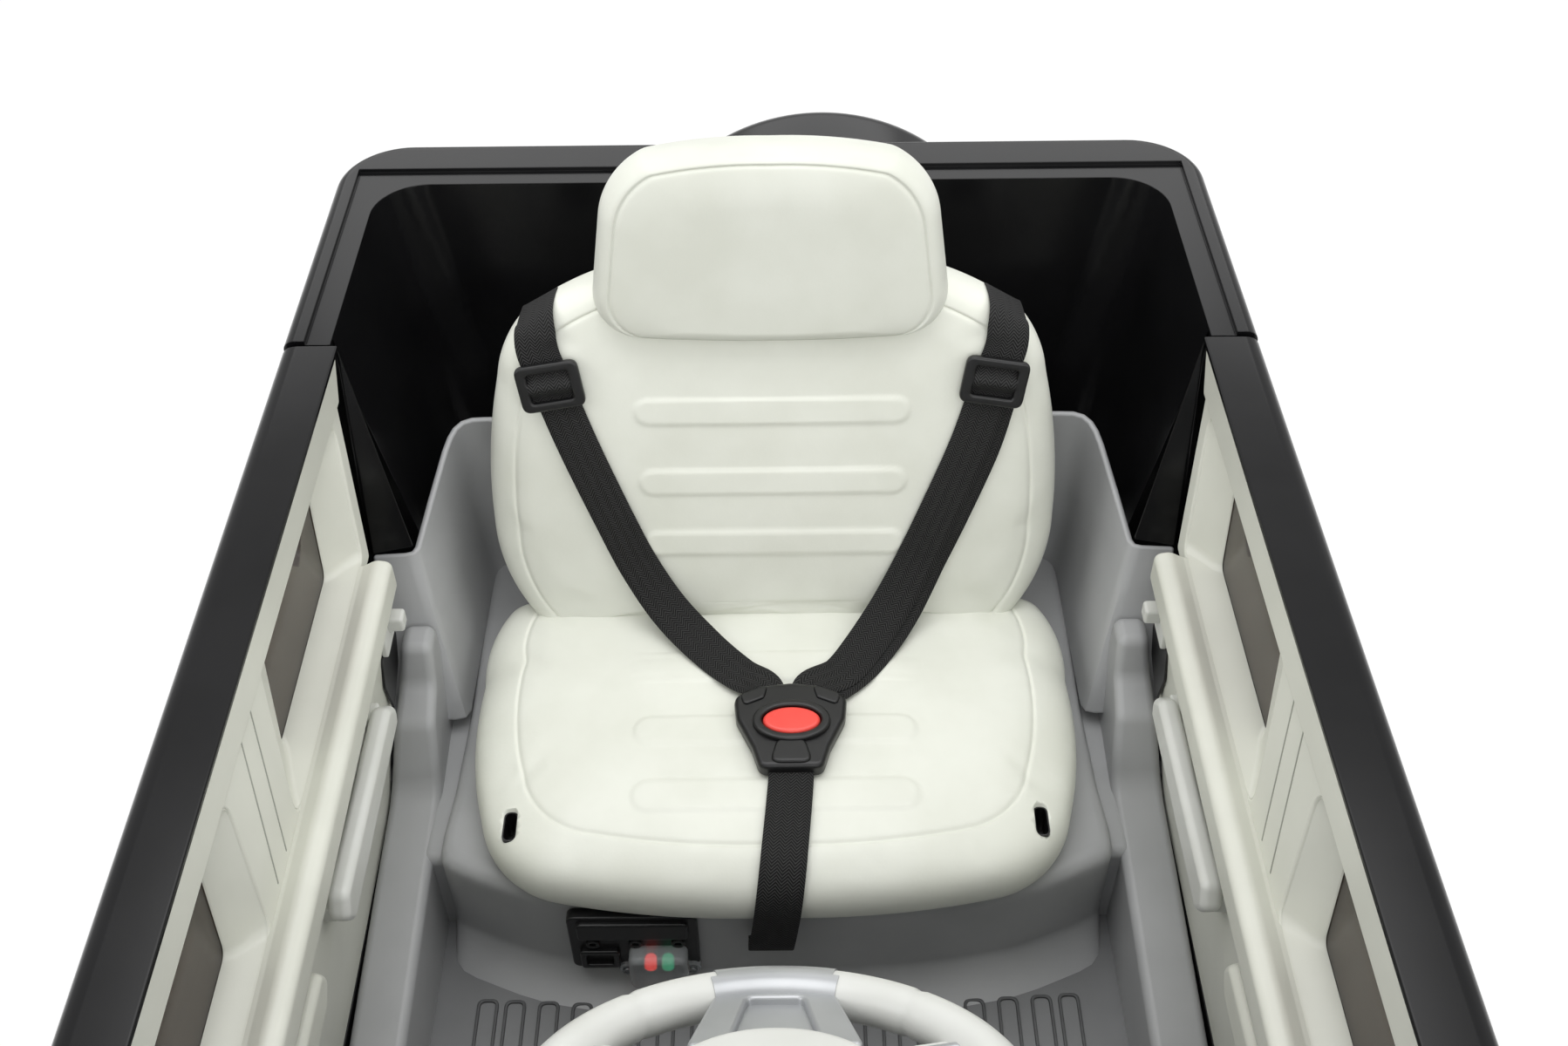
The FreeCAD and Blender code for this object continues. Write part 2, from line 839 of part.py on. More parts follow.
def is_sill_crest(a, b):
    """The two long crest lines of each sill, and the edges round its horn."""
    sill_inner = v.tub_half_width - v.sill_width
    lowest = min(v.sill_front_height, v.sill_middle_height)
    for x in (sill_inner, v.tub_half_width):
        if near(abs(a.x), x) and near(abs(b.x), x) and not near(a.y, b.y):
            return min(a.z, b.z) > lowest - v.fit_gap
    return False


def pedal_pin_point():
    return (-v.pedal_heel, v.floor_top + v.pedal_heel_height)


def add_pedal_lugs(body):
    """Two small ears on the floor that hold the pedal's pin."""
    y, z = pedal_pin_point()
    ear = box_loop(y - v.pedal_lug_radius, y + v.pedal_lug_radius, v.floor_top, z + v.pedal_lug_radius)
    for side in (1, -1):
        inner = -v.pedal_reach + side * (v.pedal_half_width + v.fit_gap)
        outer = inner + side * v.pedal_lug_thick
        low, high = (inner, outer) if side > 0 else (outer, inner)
        add(body, "YZ", low, high, ear)
    low = -v.pedal_reach - v.pedal_half_width - v.pedal_lug_thick - v.fit_gap
    high = -v.pedal_reach + v.pedal_half_width + v.pedal_lug_thick + v.fit_gap
    cut(body, "YZ", low, high, ((y, z), v.pedal_pin_radius + v.run_gap))


def make_seat_surround():
    """The grey wall behind the seat with a wing on each side, lower towards the doors."""
    body = new_body("seat_surround")
    slope = (v.wing_half_width - v.surround_half_width) / (v.bulkhead_front - v.wing_front)
    front = [
        (v.wing_outer, v.wing_front),
        (v.wing_half_width, v.wing_front),
        (v.surround_half_width, v.bulkhead_front),
    ]
    rear = [
        (v.surround_half_width + v.wall, bulkhead_rear),
        (v.wing_half_width + v.wall - slope * v.wall, v.wing_front + v.wall),
        (v.wing_outer, v.wing_front + v.wall),
    ]
    front += [(-x, y) for x, y in reversed(front)]
    rear = [(-x, y) for x, y in reversed(rear)] + rear
    add(body, "XY", v.pedestal_top, v.surround_top, front + rear)
    above = v.surround_top + v.overrun
    ahead = v.wing_front - v.overrun
    wing_cut = [
        (v.bulkhead_front, v.surround_top),
        (v.wing_front + v.wall, v.wing_top),
        (ahead, v.wing_top),
        (ahead, above),
        (v.bulkhead_front, above),
    ]
    reach = v.wing_outer + v.overrun
    cut(body, "YZ", -reach, reach, wing_cut)
    for side in (1, -1):
        edges = sorted((side * (v.wing_half_width - v.wall * 2), side * reach))
        lower = box_loop(edges[0], edges[1], v.pedestal_top - v.overrun, v.cargo_floor)
        cut(body, "XZ", ahead, v.bulkhead_front, lower)
    return keep("seat_surround", body)


# Rear of the body: one black moulding with a rim, a cargo well and the rear wheel arches

def flare_loops(middle):
    return [((middle, axle_height), arch_radius + v.flare_width), ((middle, axle_height), arch_radius)]


def make_rear_body_shell():
    body = new_body("rear_body_shell")
    wide = v.body_half_width
    add(body, "XY", v.shell_bottom, v.rail_top, box_loop(-wide, wide, v.shell_front, v.tail_reach))
    round_edges(body, v.shell_corner_round, lambda a, b: along(a, b, 2) and near(a.y, v.tail_reach))
    round_edges(body, v.rail_round, is_shell_top)
    carve_cargo_well(body)
    hollow_shell(body)
    half = v.cargo_half_width
    cabin = box_loop(-half, half, v.shell_front - v.overrun, bulkhead_rear + v.fit_gap)
    cut(body, "XY", v.shell_bottom - v.overrun, v.cargo_floor, cabin)
    dogleg = [
        (v.shell_front + v.wall, v.shell_bottom),
        (v.shell_front + v.wall, v.dogleg_top),
        (v.shell_front, v.dogleg_top),
        (v.dogleg_knee, v.dogleg_knee_height),
        (v.dogleg_front, v.dogleg_bottom),
        (v.dogleg_front, v.shell_bottom),
    ]
    for side in (1, -1):
        low, high = sorted((side * (wide - v.wall), side * wide))
        add(body, "YZ", low, high, dogleg)
        low, high = sorted((side * wide, side * (wide + v.flare_depth)))
        add(body, "YZ", low, high, *flare_loops(rear_axle))
        low, high = sorted((side * v.cargo_half_width, side * (wide + v.flare_depth)))
        cut(body, "YZ", low, high, ((rear_axle, axle_height), arch_radius))
        low, high = sorted((side * (wide - v.wall), side * (wide + v.flare_depth)))
        reach = arch_radius + v.flare_width + v.overrun
        below = box_loop(rear_axle - reach, rear_axle + reach, axle_height - reach, v.shell_bottom)
        cut(body, "YZ", low, high, below)
    return keep("rear_body_shell", body)


def is_shell_top(a, b):
    top = near(a.z, v.rail_top) and near(b.z, v.rail_top)
    return top and not (near(a.y, v.shell_front) and near(b.y, v.shell_front))


def carve_cargo_well(body):
    """A well that narrows downwards, open to the cabin at its front, with a stepped rim."""
    ahead = v.shell_front - v.overrun
    top_half = v.body_half_width - v.rim_width
    top_rear = v.tail_reach - v.rim_rear_width
    top = sketch_at(body, "XY", v.rail_top)
    draw(top, [box_loop(-top_half, top_half, ahead, top_rear)])
    bottom = sketch_at(body, "XY", v.cargo_floor)
    draw(bottom, [box_loop(-v.cargo_half_width, v.cargo_half_width, ahead, v.cargo_rear)])
    well = body.newObject("PartDesign::SubtractiveLoft", "cargo_well")
    well.Profile = top
    well.Sections = [bottom]
    round_edges(body, v.cargo_corner_round, is_well_corner)
    ledge_half = top_half + v.ledge_width
    ledge = box_loop(-ledge_half, ledge_half, ahead, top_rear + v.ledge_width)
    cut(body, "XY", v.rail_top - v.ledge_depth, v.rail_top, ledge)


def is_well_corner(a, b):
    low, high = sorted((a, b), key=lambda p: p.z)
    return near(low.z, v.cargo_floor) and near(low.y, v.cargo_rear) and near(high.z, v.rail_top)


def hollow_shell(body):
    """Leaves one wall thickness round the wheel houses and under the cargo floor."""
    inner = v.body_half_width - v.wall
    back = v.tail_reach - v.wall
    ceiling = v.cargo_floor - v.wall
    turn_in = v.shell_corner_round
    front = v.shell_front + v.wall
    half = [(inner, front), (inner, back - turn_in), (inner - turn_in, back)]
    under = half + [(-x, y) for x, y in reversed(half)]
    cut(body, "XY", v.shell_bottom - v.overrun, ceiling, under)
    top_half = v.body_half_width - v.rim_width
    lean = (top_half - v.cargo_half_width) / (v.rail_top - v.cargo_floor)
    rim_bottom = v.rail_top - v.rim_depth
    narrow = v.cargo_half_width + v.wall
    wedge = [
        (inner, ceiling),
        (narrow, ceiling),
        (narrow + lean * (rim_bottom - ceiling), rim_bottom),
        (inner, rim_bottom),
    ]
    for side in (1, -1):
        loop = [(side * x, z) for x, z in wedge]
        cut(body, "XZ", front, v.tail_reach - turn_in, loop)


def make_spare_wheel_cover():
    """A round dished cover that stands on the rear wall, off the middle."""
    body = new_body("spare_wheel_cover")
    wide = v.spare_radius
    points = [
        (zero, zero),
        (v.spare_thick - v.spare_dish_depth, zero),
        (v.spare_thick - v.spare_dish_depth, v.spare_dish_radius - v.spare_dish_depth),
        (v.spare_thick, v.spare_dish_radius),
        (v.spare_thick, wide),
        (zero, wide),
    ]
    turn(body, points)
    round_edges(body, v.spare_round, lambda a, b: near(a.x, v.spare_thick) and near(a.y, wide))
    body.Placement = Placement(Vector(), Rotation(Vector(0, 0, 1), 90))
    place(body, v.spare_offset, v.tail_reach, v.spare_top - v.spare_radius)
    return keep("spare_wheel_cover", body)


def make_rear_bumper():
    body = new_body("rear_bumper")
    wide = v.rear_bumper_half_width
    loop = box_loop(-wide, wide, v.tail_reach, v.rear_bumper_reach)
    add(body, "XY", v.rear_bumper_bottom, v.rear_bumper_top, loop)
    round_edges(body, v.bumper_round, lambda a, b: near(a.y, v.rear_bumper_reach) and near(b.y, a.y))
    return keep("rear_bumper", body)


def make_tail_lights():
    body = new_body("tail_light")
    low = v.tail_light_reach - v.tail_light_width / 2
    bottom = v.rear_bumper_top + v.tail_light_lift
    loop = box_loop(low, low + v.tail_light_width, bottom, bottom + v.tail_light_height)
    back = v.tail_reach + v.tail_light_depth
    add(body, "XZ", v.tail_reach, back, loop)
    round_edges(body, v.tail_light_depth / 3, lambda a, b: near(a.y, back) and near(b.y, back))
    return pair("tail_lights", body)


# Nose: fenders with headlight bezels and hinge ears, bonnet, grille and bumper

def make_front_fenders():
    body = new_body("front_fender")
    wide = v.body_half_width
    nose = -v.nose_reach
    rear = -v.fender_rear
    loop = box_loop(v.fender_inner, wide, nose, rear)
    add(body, "XY", v.bumper_top, v.belt_height, loop)
    round_edges(body, v.fender_round, is_fender_edge)
    inside = box_loop(v.fender_inner - v.overrun, wide - v.wall, nose + v.wall, rear - v.wall)
    cut(body, "XY", v.bumper_top - v.overrun, v.belt_height - v.wall, inside)
    doorway = box_loop(v.fender_inner - v.overrun, wide - v.wall, v.bumper_top - v.overrun, v.toe_board_top)
    cut(body, "XZ", rear - v.wall, rear, doorway)
    bezel = v.headlight_radius + v.bezel_width
    lamp = (v.headlight_reach, v.headlight_height)
    add(body, "XZ", nose - v.bezel_depth + v.wall, nose + v.wall, (lamp, bezel))
    cut(body, "XZ", nose - v.bezel_depth, nose, (lamp, v.headlight_radius + v.fit_gap))
    add(body, "YZ", wide, wide + v.flare_depth, *flare_loops(front_axle))
    reach = arch_radius + v.flare_width + v.overrun
    below = box_loop(front_axle - reach, front_axle + reach, axle_height - reach, v.bumper_top)
    cut(body, "YZ", wide - v.wall, wide + v.flare_depth, below)
    arch = ((front_axle, axle_height), arch_radius)
    cut(body, "YZ", wide - v.wall, wide + v.flare_depth, arch)
    for level in hinge_levels:
        add_hinge_half(body, level, -v.hinge_leaf_length)
        bore = (hinge_point(), v.hinge_peg_radius + v.run_gap)
        cut(body, "XY", level - v.overrun, level + v.hinge_barrel, bore)
    return pair("front_fenders", body)


def is_fender_edge(a, b):
    nose = near(a.y, -v.nose_reach) and near(b.y, -v.nose_reach)
    outer = near(a.x, v.body_half_width) and near(b.x, v.body_half_width)
    top = near(a.z, v.belt_height) and near(b.z, v.belt_height)
    return (top and (nose or outer)) or (nose and outer)


def hinge_point():
    return (v.hinge_axis_reach, -v.hinge_axis_front)


def add_hinge_half(body, level, leaf):
    """A barrel on the hinge line and its leaf, which runs along Y on the skin's outer face."""
    top = level + v.hinge_barrel
    ends = sorted((-v.hinge_axis_front, -v.hinge_axis_front + leaf))
    face = v.body_half_width
    add(body, "XY", level, top, box_loop(face, face + v.hinge_leaf_thick, ends[0], ends[1]))
    add(body, "XY", level, top, (hinge_point(), v.hinge_radius))


def make_bonnet():
    """The bonnet lies between the fenders, with a raised middle."""
    body = new_body("bonnet")
    half_width = v.fender_inner - v.fit_gap
    bottom = v.belt_height - v.bonnet_thick
    half = [
        (half_width, bottom),
        (half_width, v.belt_height),
        (v.bonnet_flank + v.bonnet_flank_run, v.belt_height),
        (v.bonnet_flank, v.belt_height + v.bonnet_rise),
    ]
    outline = half + [(-x, z) for x, z in reversed(half)]
    add(body, "XZ", -v.nose_reach, -v.bonnet_rear, outline)
    top = v.belt_height - v.fit_gap
    round_edges(body, v.bonnet_round, lambda a, b: a.z > top and b.z > top and not near(a.x, b.x))
    return keep("hood", body)


def make_grille():
    body = new_body("front_grille")
    wide = v.fender_inner - v.fit_gap
    bonnet_bottom = v.belt_height - v.bonnet_thick
    nose = -v.nose_reach
    panel = box_loop(-wide, wide, v.bumper_top, bonnet_bottom)
    add(body, "XZ", nose, nose + v.grille_thick, panel)
    for i in range(int(v.grille_slot_count)):
        low = v.bumper_top + v.grille_slot_base + i * v.grille_slot_pitch
        half = v.grille_slot_half_length
        slot = box_loop(-half, half, low, low + v.grille_slot_height)
        cut(body, "XZ", nose, nose + v.grille_slot_depth, slot)
    return keep("front_grille", body)


def make_front_bumper():
    body = new_body("front_bumper")
    wide = v.body_half_width
    front = -v.front_bumper_reach
    back = -v.nose_reach + v.grille_thick
    loop = box_loop(-wide, wide, front, back)
    add(body, "XY", v.front_bumper_bottom, v.bumper_top, loop)
    round_edges(body, v.bumper_round, lambda a, b: near(a.y, front) and near(b.y, front))
    middle = (v.front_bumper_bottom + v.bumper_top) / 2
    half = v.bumper_intake_half_width
    intake = box_loop(
        -half, half, middle - v.bumper_intake_height / 2, middle + v.bumper_intake_height / 2
    )
    cut(body, "XZ", front, front + v.bumper_intake_depth, intake)
    return keep("front_bumper", body)


def make_headlight_lenses():
    """A shallow dome of clear plastic that sits in each bezel."""
    body = new_body("headlight_lens")
    seat = v.bezel_depth - v.wall
    points = [
        (zero, zero),
        (zero, v.headlight_radius),
        (seat, v.headlight_radius),
        (seat + v.lens_bulge, v.headlight_radius / 2),
        (seat + v.lens_bulge, zero),
    ]
    turn(body, points)
    body.Placement = Placement(Vector(), Rotation(Vector(0, 0, 1), -90))
    place(body, v.headlight_reach, -v.nose_reach, v.headlight_height)
    return pair("headlight_lenses", body)


def make_side_steps():
    """Rocker panel and running board in one piece under each door."""
    body = new_body("side_step")
    top = v.door_bottom - (v.shell_front - v.door_rear)
    tread = v.pan_bottom + v.step_thick
    profile = [
        (v.pan_half_width, v.pan_bottom),
        (v.step_half_width, v.pan_bottom),
        (v.step_half_width, tread),
        (v.body_half_width, tread + v.step_slope),
        (v.body_half_width, top),
        (v.pan_half_width, top),
    ]
    add(body, "XZ", -v.step_front, v.step_rear, profile)
    outer = v.step_half_width
    round_edges(body, v.step_slope / 2, lambda a, b: near(a.x, outer) and near(b.x, outer))
    return pair("side_steps", body)


# Dashboard with cowl, and windscreen

def column_placement(distance):
    """Frame of the steering column, moved along its axis from the wheel's middle."""
    direction = Vector(0, math.sin(column_tilt), math.cos(column_tilt))
    middle = Vector(0, -v.wheel_centre_reach, v.wheel_centre_height)
    lean = Rotation(Vector(1, 0, 0), -math.degrees(column_tilt))
    return Placement(middle + direction * float(distance), lean)


def on_column(thing, distance=zero):
    """Places a piece on the tilted steering axis, at a distance from the wheel's middle."""
    thing.Placement = column_placement(distance)
    return thing


def make_dashboard():
    body = new_body("dashboard_block")
    front = -v.fender_rear
    profile = [
        (front, v.toe_board_top),
        (-v.dash_heel, v.toe_board_top),
        (-v.dash_face, v.dash_face_bottom),
        (-v.dash_face, v.dash_face_top),
        (-v.dash_crest, v.dash_top),
        (front, v.belt_height + v.step_slope),
    ]
    add(body, "YZ", -v.dash_half_width, v.dash_half_width, profile)
    cowl_half = v.fender_inner - v.fit_gap
    cowl = box_loop(-cowl_half, cowl_half, -v.bonnet_rear, front)
    add(body, "XY", v.belt_height - v.bonnet_thick, v.belt_height, cowl)
    seat = (-v.start_button_reach, v.start_button_height)
    button = v.start_button_radius + v.fit_gap
    cut(body, "XZ", -v.dash_face - v.button_seat_depth, -v.dash_face, (seat, button))
    bore = doc.addObject("Part::Cylinder", "column_bore")
    bind(bore, "Radius", v.column_radius + v.run_gap)
    bind(bore, "Height", v.column_length)
    on_column(bore, -v.column_length)
    return keep("dashboard", boolean("Cut", "dashboard", body, bore))


def make_start_button():
    body = new_body("start_button")
    seat = (-v.start_button_reach, v.start_button_height)
    inner = -v.dash_face - v.button_seat_depth + v.start_button_travel + v.fit_gap
    add(body, "XZ", inner, -v.dash_face + v.start_button_proud, (seat, v.start_button_radius))
    return keep("start_button", body)


def rake(thing):
    """Leans a windscreen piece back about the foot of the screen."""
    foot = Vector(0, -v.screen_base, v.belt_height + v.fit_gap + screen_lift())
    thing.Placement = Placement(foot, Rotation(Vector(1, 0, 0), -float(v.screen_rake)))
    return thing


def screen_lift():
    """How far the leaning bottom edge dips below the screen's foot point."""
    return v.screen_thick / 2 * math.sin(math.radians(v.screen_rake))


def make_windscreen():
    frame = new_body("windscreen_frame")
    half = v.screen_half_width
    back = v.screen_thick / 2
    add(frame, "XZ", -back, back, box_loop(-half, half, zero, v.screen_height))
    corner = v.screen_corner_round
    round_edges(frame, corner, lambda a, b: along(a, b, 1) and near(a.z, v.screen_height))
    bar = v.screen_bar
    glass = box_loop(-half + bar, half - bar, bar, v.screen_height - bar)
    cut(frame, "XZ", -back, back, glass)
    rake(frame)
    pane = new_body("windscreen_pane")
    gap = v.fit_gap
    loop = box_loop(-half + bar + gap, half - bar - gap, bar + gap, v.screen_height - bar - gap)
    add(pane, "XZ", -v.pane_thick / 2, v.pane_thick / 2, loop)
    rake(pane)
    keep("windscreen_frame", frame)
    keep("windscreen_pane", pane)


# Steering wheel, column and linkage

def make_steering_wheel():
    ring = doc.addObject("Part::Torus", "steering_rim")
    bind(ring, "Radius1", v.ring_radius)
    bind(ring, "Radius2", v.ring_tube_radius)
    keep("steering_rim", on_column(ring))
    hub = new_body("hub_block")
    bottom = -v.hub_disc_depth
    add(hub, "XY", bottom, v.hub_disc_rise, ((zero, zero), v.hub_disc_radius))
    half_thick = v.spoke_thick / 2
    arm = box_loop(-v.ring_radius, v.ring_radius, -v.spoke_width / 2, v.spoke_width / 2)
    add(hub, "XY", -half_thick, half_thick, arm)
    lower = box_loop(-v.lower_spoke_width / 2, v.lower_spoke_width / 2, zero, v.ring_radius)
    add(hub, "XY", -half_thick, half_thick, lower)
    well = v.horn_thick + v.horn_travel + v.fit_gap - v.horn_proud
    middle = (zero, zero)
    cut(hub, "XY", v.hub_disc_rise - well, v.hub_disc_rise, (middle, v.horn_radius + v.fit_gap))
    socket = v.column_radius + v.run_gap
    cut(hub, "XY", bottom, bottom + v.column_socket, (middle, socket))
    groove = doc.addObject("Part::Torus", "ring_seat")
    bind(groove, "Radius1", v.ring_radius)
    bind(groove, "Radius2", v.ring_tube_radius + v.fit_gap)
    keep("steering_hub", on_column(boolean("Cut", "steering_hub", hub, groove)))
    button = new_body("horn_button")
    top = v.hub_disc_rise + v.horn_proud
    add(button, "XY", top - v.horn_thick, top, (middle, v.horn_radius))
    keep("horn_button", on_column(button))


def make_steering_column():
    """The rod from the wheel down to a crank, whose pin moves the tie rod sideways."""
    body = new_body("steering_column")
    top = -v.hub_disc_depth + v.column_socket
    middle = (zero, zero)
    add(body, "XY", -v.column_length, top, (middle, v.column_radius))
    half = v.crank_arm_width / 2
    arm_end = v.crank_radius + half
    arm_top = -v.column_length + v.crank_arm_thick
    add(body, "XY", -v.column_length, arm_top, box_loop(-half, half, -half, arm_end))
    pin = ((zero, v.crank_radius), v.crank_pin_radius)
    add(body, "XY", -v.column_length - v.crank_pin_length, -v.column_length, pin)
    return keep("steering_column", on_column(body))


def tie_rod_line():
    """Place along Y of the tie rod, behind the axle where the crank pin passes through it."""
    level = v.tie_rod_bottom + v.tie_rod_thick / 2
    lean = math.tan(column_tilt)
    drop = v.column_foot_height - v.crank_radius * math.sin(column_tilt) - level
    foot = -v.wheel_centre_reach - column_run
    return foot + v.crank_radius * math.cos(column_tilt) - drop * lean - v.crank_swing


def make_tie_rod():
    """A flat bar between the knuckle arms, with a long slot for the crank pin."""
    body = new_body("tie_rod")
    line = tie_rod_line()
    low = v.tie_rod_bottom
    top = low + v.tie_rod_thick
    half = v.tie_rod_width / 2
    add(body, "XY", low, top, box_loop(-v.kingpin_reach, v.kingpin_reach, line - half, line + half))
    plate = v.tie_rod_plate_width / 2
    long_half = v.tie_rod_plate_length / 2
    add(body, "XY", low, top, box_loop(-plate, plate, line - long_half, line + long_half))
    slot = v.crank_pin_radius + v.crank_slack
    slot_half = v.crank_slot_length / 2
    crank_line = line + v.crank_slot_shift
    slot_loop = box_loop(-slot, slot, crank_line - slot_half, crank_line + slot_half)
    cut(body, "XY", low, top, slot_loop)
    for side in (1, -1):
        eye = (side * v.kingpin_reach, line)
        add(body, "XY", low, top, (eye, v.tie_rod_eye))
        cut(body, "XY", low, top, (eye, v.arm_pin_radius + v.tie_rod_slack))
    return keep("tie_rod", body)


def make_knuckles():
    """A yoke round the king pin boss with the wheel's stub axle and the steering arm."""
    body = new_body("knuckle_left")
    post = (v.kingpin_reach, front_axle)
    low = v.boss_bottom - v.fit_gap - v.yoke_thick
    high = v.boss_top + v.fit_gap + v.yoke_thick
    web_inner = v.kingpin_reach + v.boss_radius + v.yoke_clearance
    web_outer = web_inner + v.yoke_thick
    half = v.boss_radius
    plate = box_loop(v.kingpin_reach - half, web_outer, front_axle - half, front_axle + half)
    web = box_loop(web_inner, web_outer, front_axle - half, front_axle + half)
    add(body, "XY", low, low + v.yoke_thick, plate)
    add(body, "XY", low, high, web)
    add(body, "XY", high - v.yoke_thick, high, plate)
    add(body, "XY", low, high, (post, v.kingpin_radius))
    stub_end = v.wheel_inner_face + v.wheel_width - v.rim_dish_depth
    add(body, "YZ", web_outer - v.yoke_thick, stub_end, ((front_axle, axle_height), v.axle_radius))
    arm_half = v.arm_width / 2
    arm_end = tie_rod_line() + arm_half
    arm = box_loop(v.kingpin_reach - arm_half, v.kingpin_reach + arm_half, front_axle, arm_end)
    add(body, "XY", low, low + v.yoke_thick, arm)
    arm_tip = (v.kingpin_reach, tie_rod_line())
    add(body, "XY", low, v.tie_rod_bottom - v.fit_gap, (arm_tip, v.tie_rod_eye))
    add(body, "XY", low, v.tie_rod_bottom + v.tie_rod_thick, (arm_tip, v.arm_pin_radius))
    keep("knuckle_left", body)
    keep("knuckle_right", mirrored("knuckle_right", body))


# Wheels

def make_wheel(name, side, axle):
    """One tyre and its rim, turned about the X axis and set on the axle line."""
    half = v.wheel_width / 2
    radius = v.wheel_radius
    groove = v.tread_groove_width / 2
    tread = half - v.tyre_shoulder
    floor = radius - v.tread_groove_depth
    outline = [(-half, v.tyre_bead_radius), (-half, radius - v.tyre_shoulder), (-tread, radius)]
    for middle in (-tread / 2, tread / 2):
        outline += [
            (middle - groove, radius),
            (middle - groove, floor),
            (middle + groove, floor),
            (middle + groove, radius),
        ]
    outline += [(tread, radius), (half, radius - v.tyre_shoulder), (half, v.tyre_bead_radius)]
    tyre = new_body(f"{name}_tyre")
    turn(tyre, outline)
    rim = new_body(f"{name}_rim")
    turn(rim, rim_outline())
    hole = ((zero, v.rim_hole_circle), v.rim_hole_radius)
    pocket = cut(rim, "YZ", -half, half, hole)
    pattern = rim.newObject("PartDesign::PolarPattern", f"{name}_holes")
    pattern.Originals = [pocket]
    axis = [o for o in rim.Origin.OriginFeatures if o.Role == "X_Axis"]
    pattern.Axis = (axis[0], [""])
    pattern.Angle = 360
    bind(pattern, "Occurrences", v.rim_hole_count)
    rim.Tip = pattern
    for piece, part_name in ((tyre, "tyre"), (rim, "rim")):
        piece.Placement = Placement(Vector(), Rotation(Vector(0, 0, 1), 0 if side > 0 else 180))
        place(piece, side * wheel_middle, axle, axle_height)
        keep(f"{name}_{part_name}", piece)


def rim_outline():
    """Section of the rim: barrel, dished disc and hub, with the outer face at +X."""
    half = v.wheel_width / 2
    seat = v.tyre_bead_radius - v.fit_gap
    barrel = seat - v.rim_lip
    disc_out = half - v.rim_dish_depth
    disc_in = disc_out - v.rim_disc_thick
    bore = v.axle_radius + v.run_gap
    inner_end = -half
    return [
        (inner_end, bore),
        (disc_out, bore),
        (disc_out + v.hub_cap_height, v.hub_cap_radius),
        (disc_out, v.hub_radius),
        (disc_out, barrel),
        (half, barrel),
        (half, seat),
        (-half, seat),
        (-half, barrel),
        (disc_in, barrel),
        (disc_in, v.hub_radius),
        (inner_end, v.hub_radius),
    ]


def make_rear_axle():
    half = v.wheel_inner_face + v.wheel_width - v.rim_dish_depth + v.axle_end_length
    axle = rod("rear_axle", v.axle_radius, half * 2, (-half, rear_axle, axle_height), Vector(1, 0, 0))
    return keep("rear_axle", axle)


def make_gear_motors():
    """A sealed reduction gearbox on the axle beside each rear wheel, with its motor."""
    body = new_body("gear_motor")
    outer = v.wheel_inner_face - v.gearbox_gap
    case = box_loop(
        rear_axle - v.gearbox_front,
        rear_axle + v.gearbox_rear,
        axle_height - v.gearbox_bottom,
        axle_height + v.gearbox_top,
    )
    add(body, "YZ", v.gearbox_inner, outer, case)
    round_edges(body, v.gearbox_round, lambda a, b: along(a, b, 0))
    cut(body, "YZ", v.gearbox_inner, outer, ((rear_axle, axle_height), v.axle_radius + v.run_gap))
    motor = (rear_axle - v.gearbox_front + v.motor_radius + v.wall, axle_height + v.motor_lift)
    add(body, "YZ", v.gearbox_inner - v.motor_length, v.gearbox_inner, (motor, v.motor_radius))
    return pair("gear_motors", body)


# Pedal

def make_pedal():
    """A sloping foot plate that tips about a pin at its heel."""
    body = new_body("pedal")
    y, z = pedal_pin_point()
    half = v.pedal_thick / 2
    profile = [
        (y + half, z - half),
        (y + half, z + half),
        (y, z + half),
        (y - v.pedal_length, z + v.pedal_rise + half),
        (y - v.pedal_length, z + v.pedal_rise - half),
        (y, z - half),
    ]
    middle = -v.pedal_reach
    add(body, "YZ", middle - v.pedal_half_width, middle + v.pedal_half_width, profile)
    pin = v.pedal_half_width + v.fit_gap + v.pedal_lug_thick
    add(body, "YZ", middle - pin, middle + pin, ((y, z), v.pedal_pin_radius))
    return keep("accelerator_pedal", body)


# Doors, built for the +X side and mirrored

def window_loop(front, rear, low, high, grow, front_slant, rear_slant):
    """A window outline grown by a lap, with corners cut by a small bevel."""
    bevel = v.window_round
    y0, y1, z0, z1 = front - grow, rear + grow, low - grow, high + grow
    return [
        (y0 + bevel, z0),
        (y1 - bevel, z0),
        (y1, z0 + bevel),
        (y1 - rear_slant, z1 - bevel),
        (y1 - rear_slant - bevel, z1),
        (y0 + front_slant + bevel, z1),
        (y0 + front_slant, z1 - bevel),
        (y0, z0 + bevel),
    ]


def windows(grow):
    low = v.window_bottom
    high = v.rail_top - v.door_rail_depth - v.panel_margin
    pillar_front = -v.pillar_middle - v.pillar_half_width
    pillar_rear = -v.pillar_middle + v.pillar_half_width
    return [
        window_loop(-v.window_front, pillar_front, low, high, grow, v.window_lean, -v.window_lean),
        window_loop(pillar_rear, v.window_rear, low, high, grow, v.window_lean, -v.window_lean),
    ]


def door_outline(front, rear, low, high, inset):
    """Side view of a door: square at the hinge, cut away over the rear wheel arch."""
    return [
        (front, low),
        (v.door_notch_foot - inset, low),
        (v.door_notch_knee - inset, v.door_notch_knee_height + inset),
        (rear, v.door_notch_top + inset),
        (rear, high),
        (front, high),
    ]


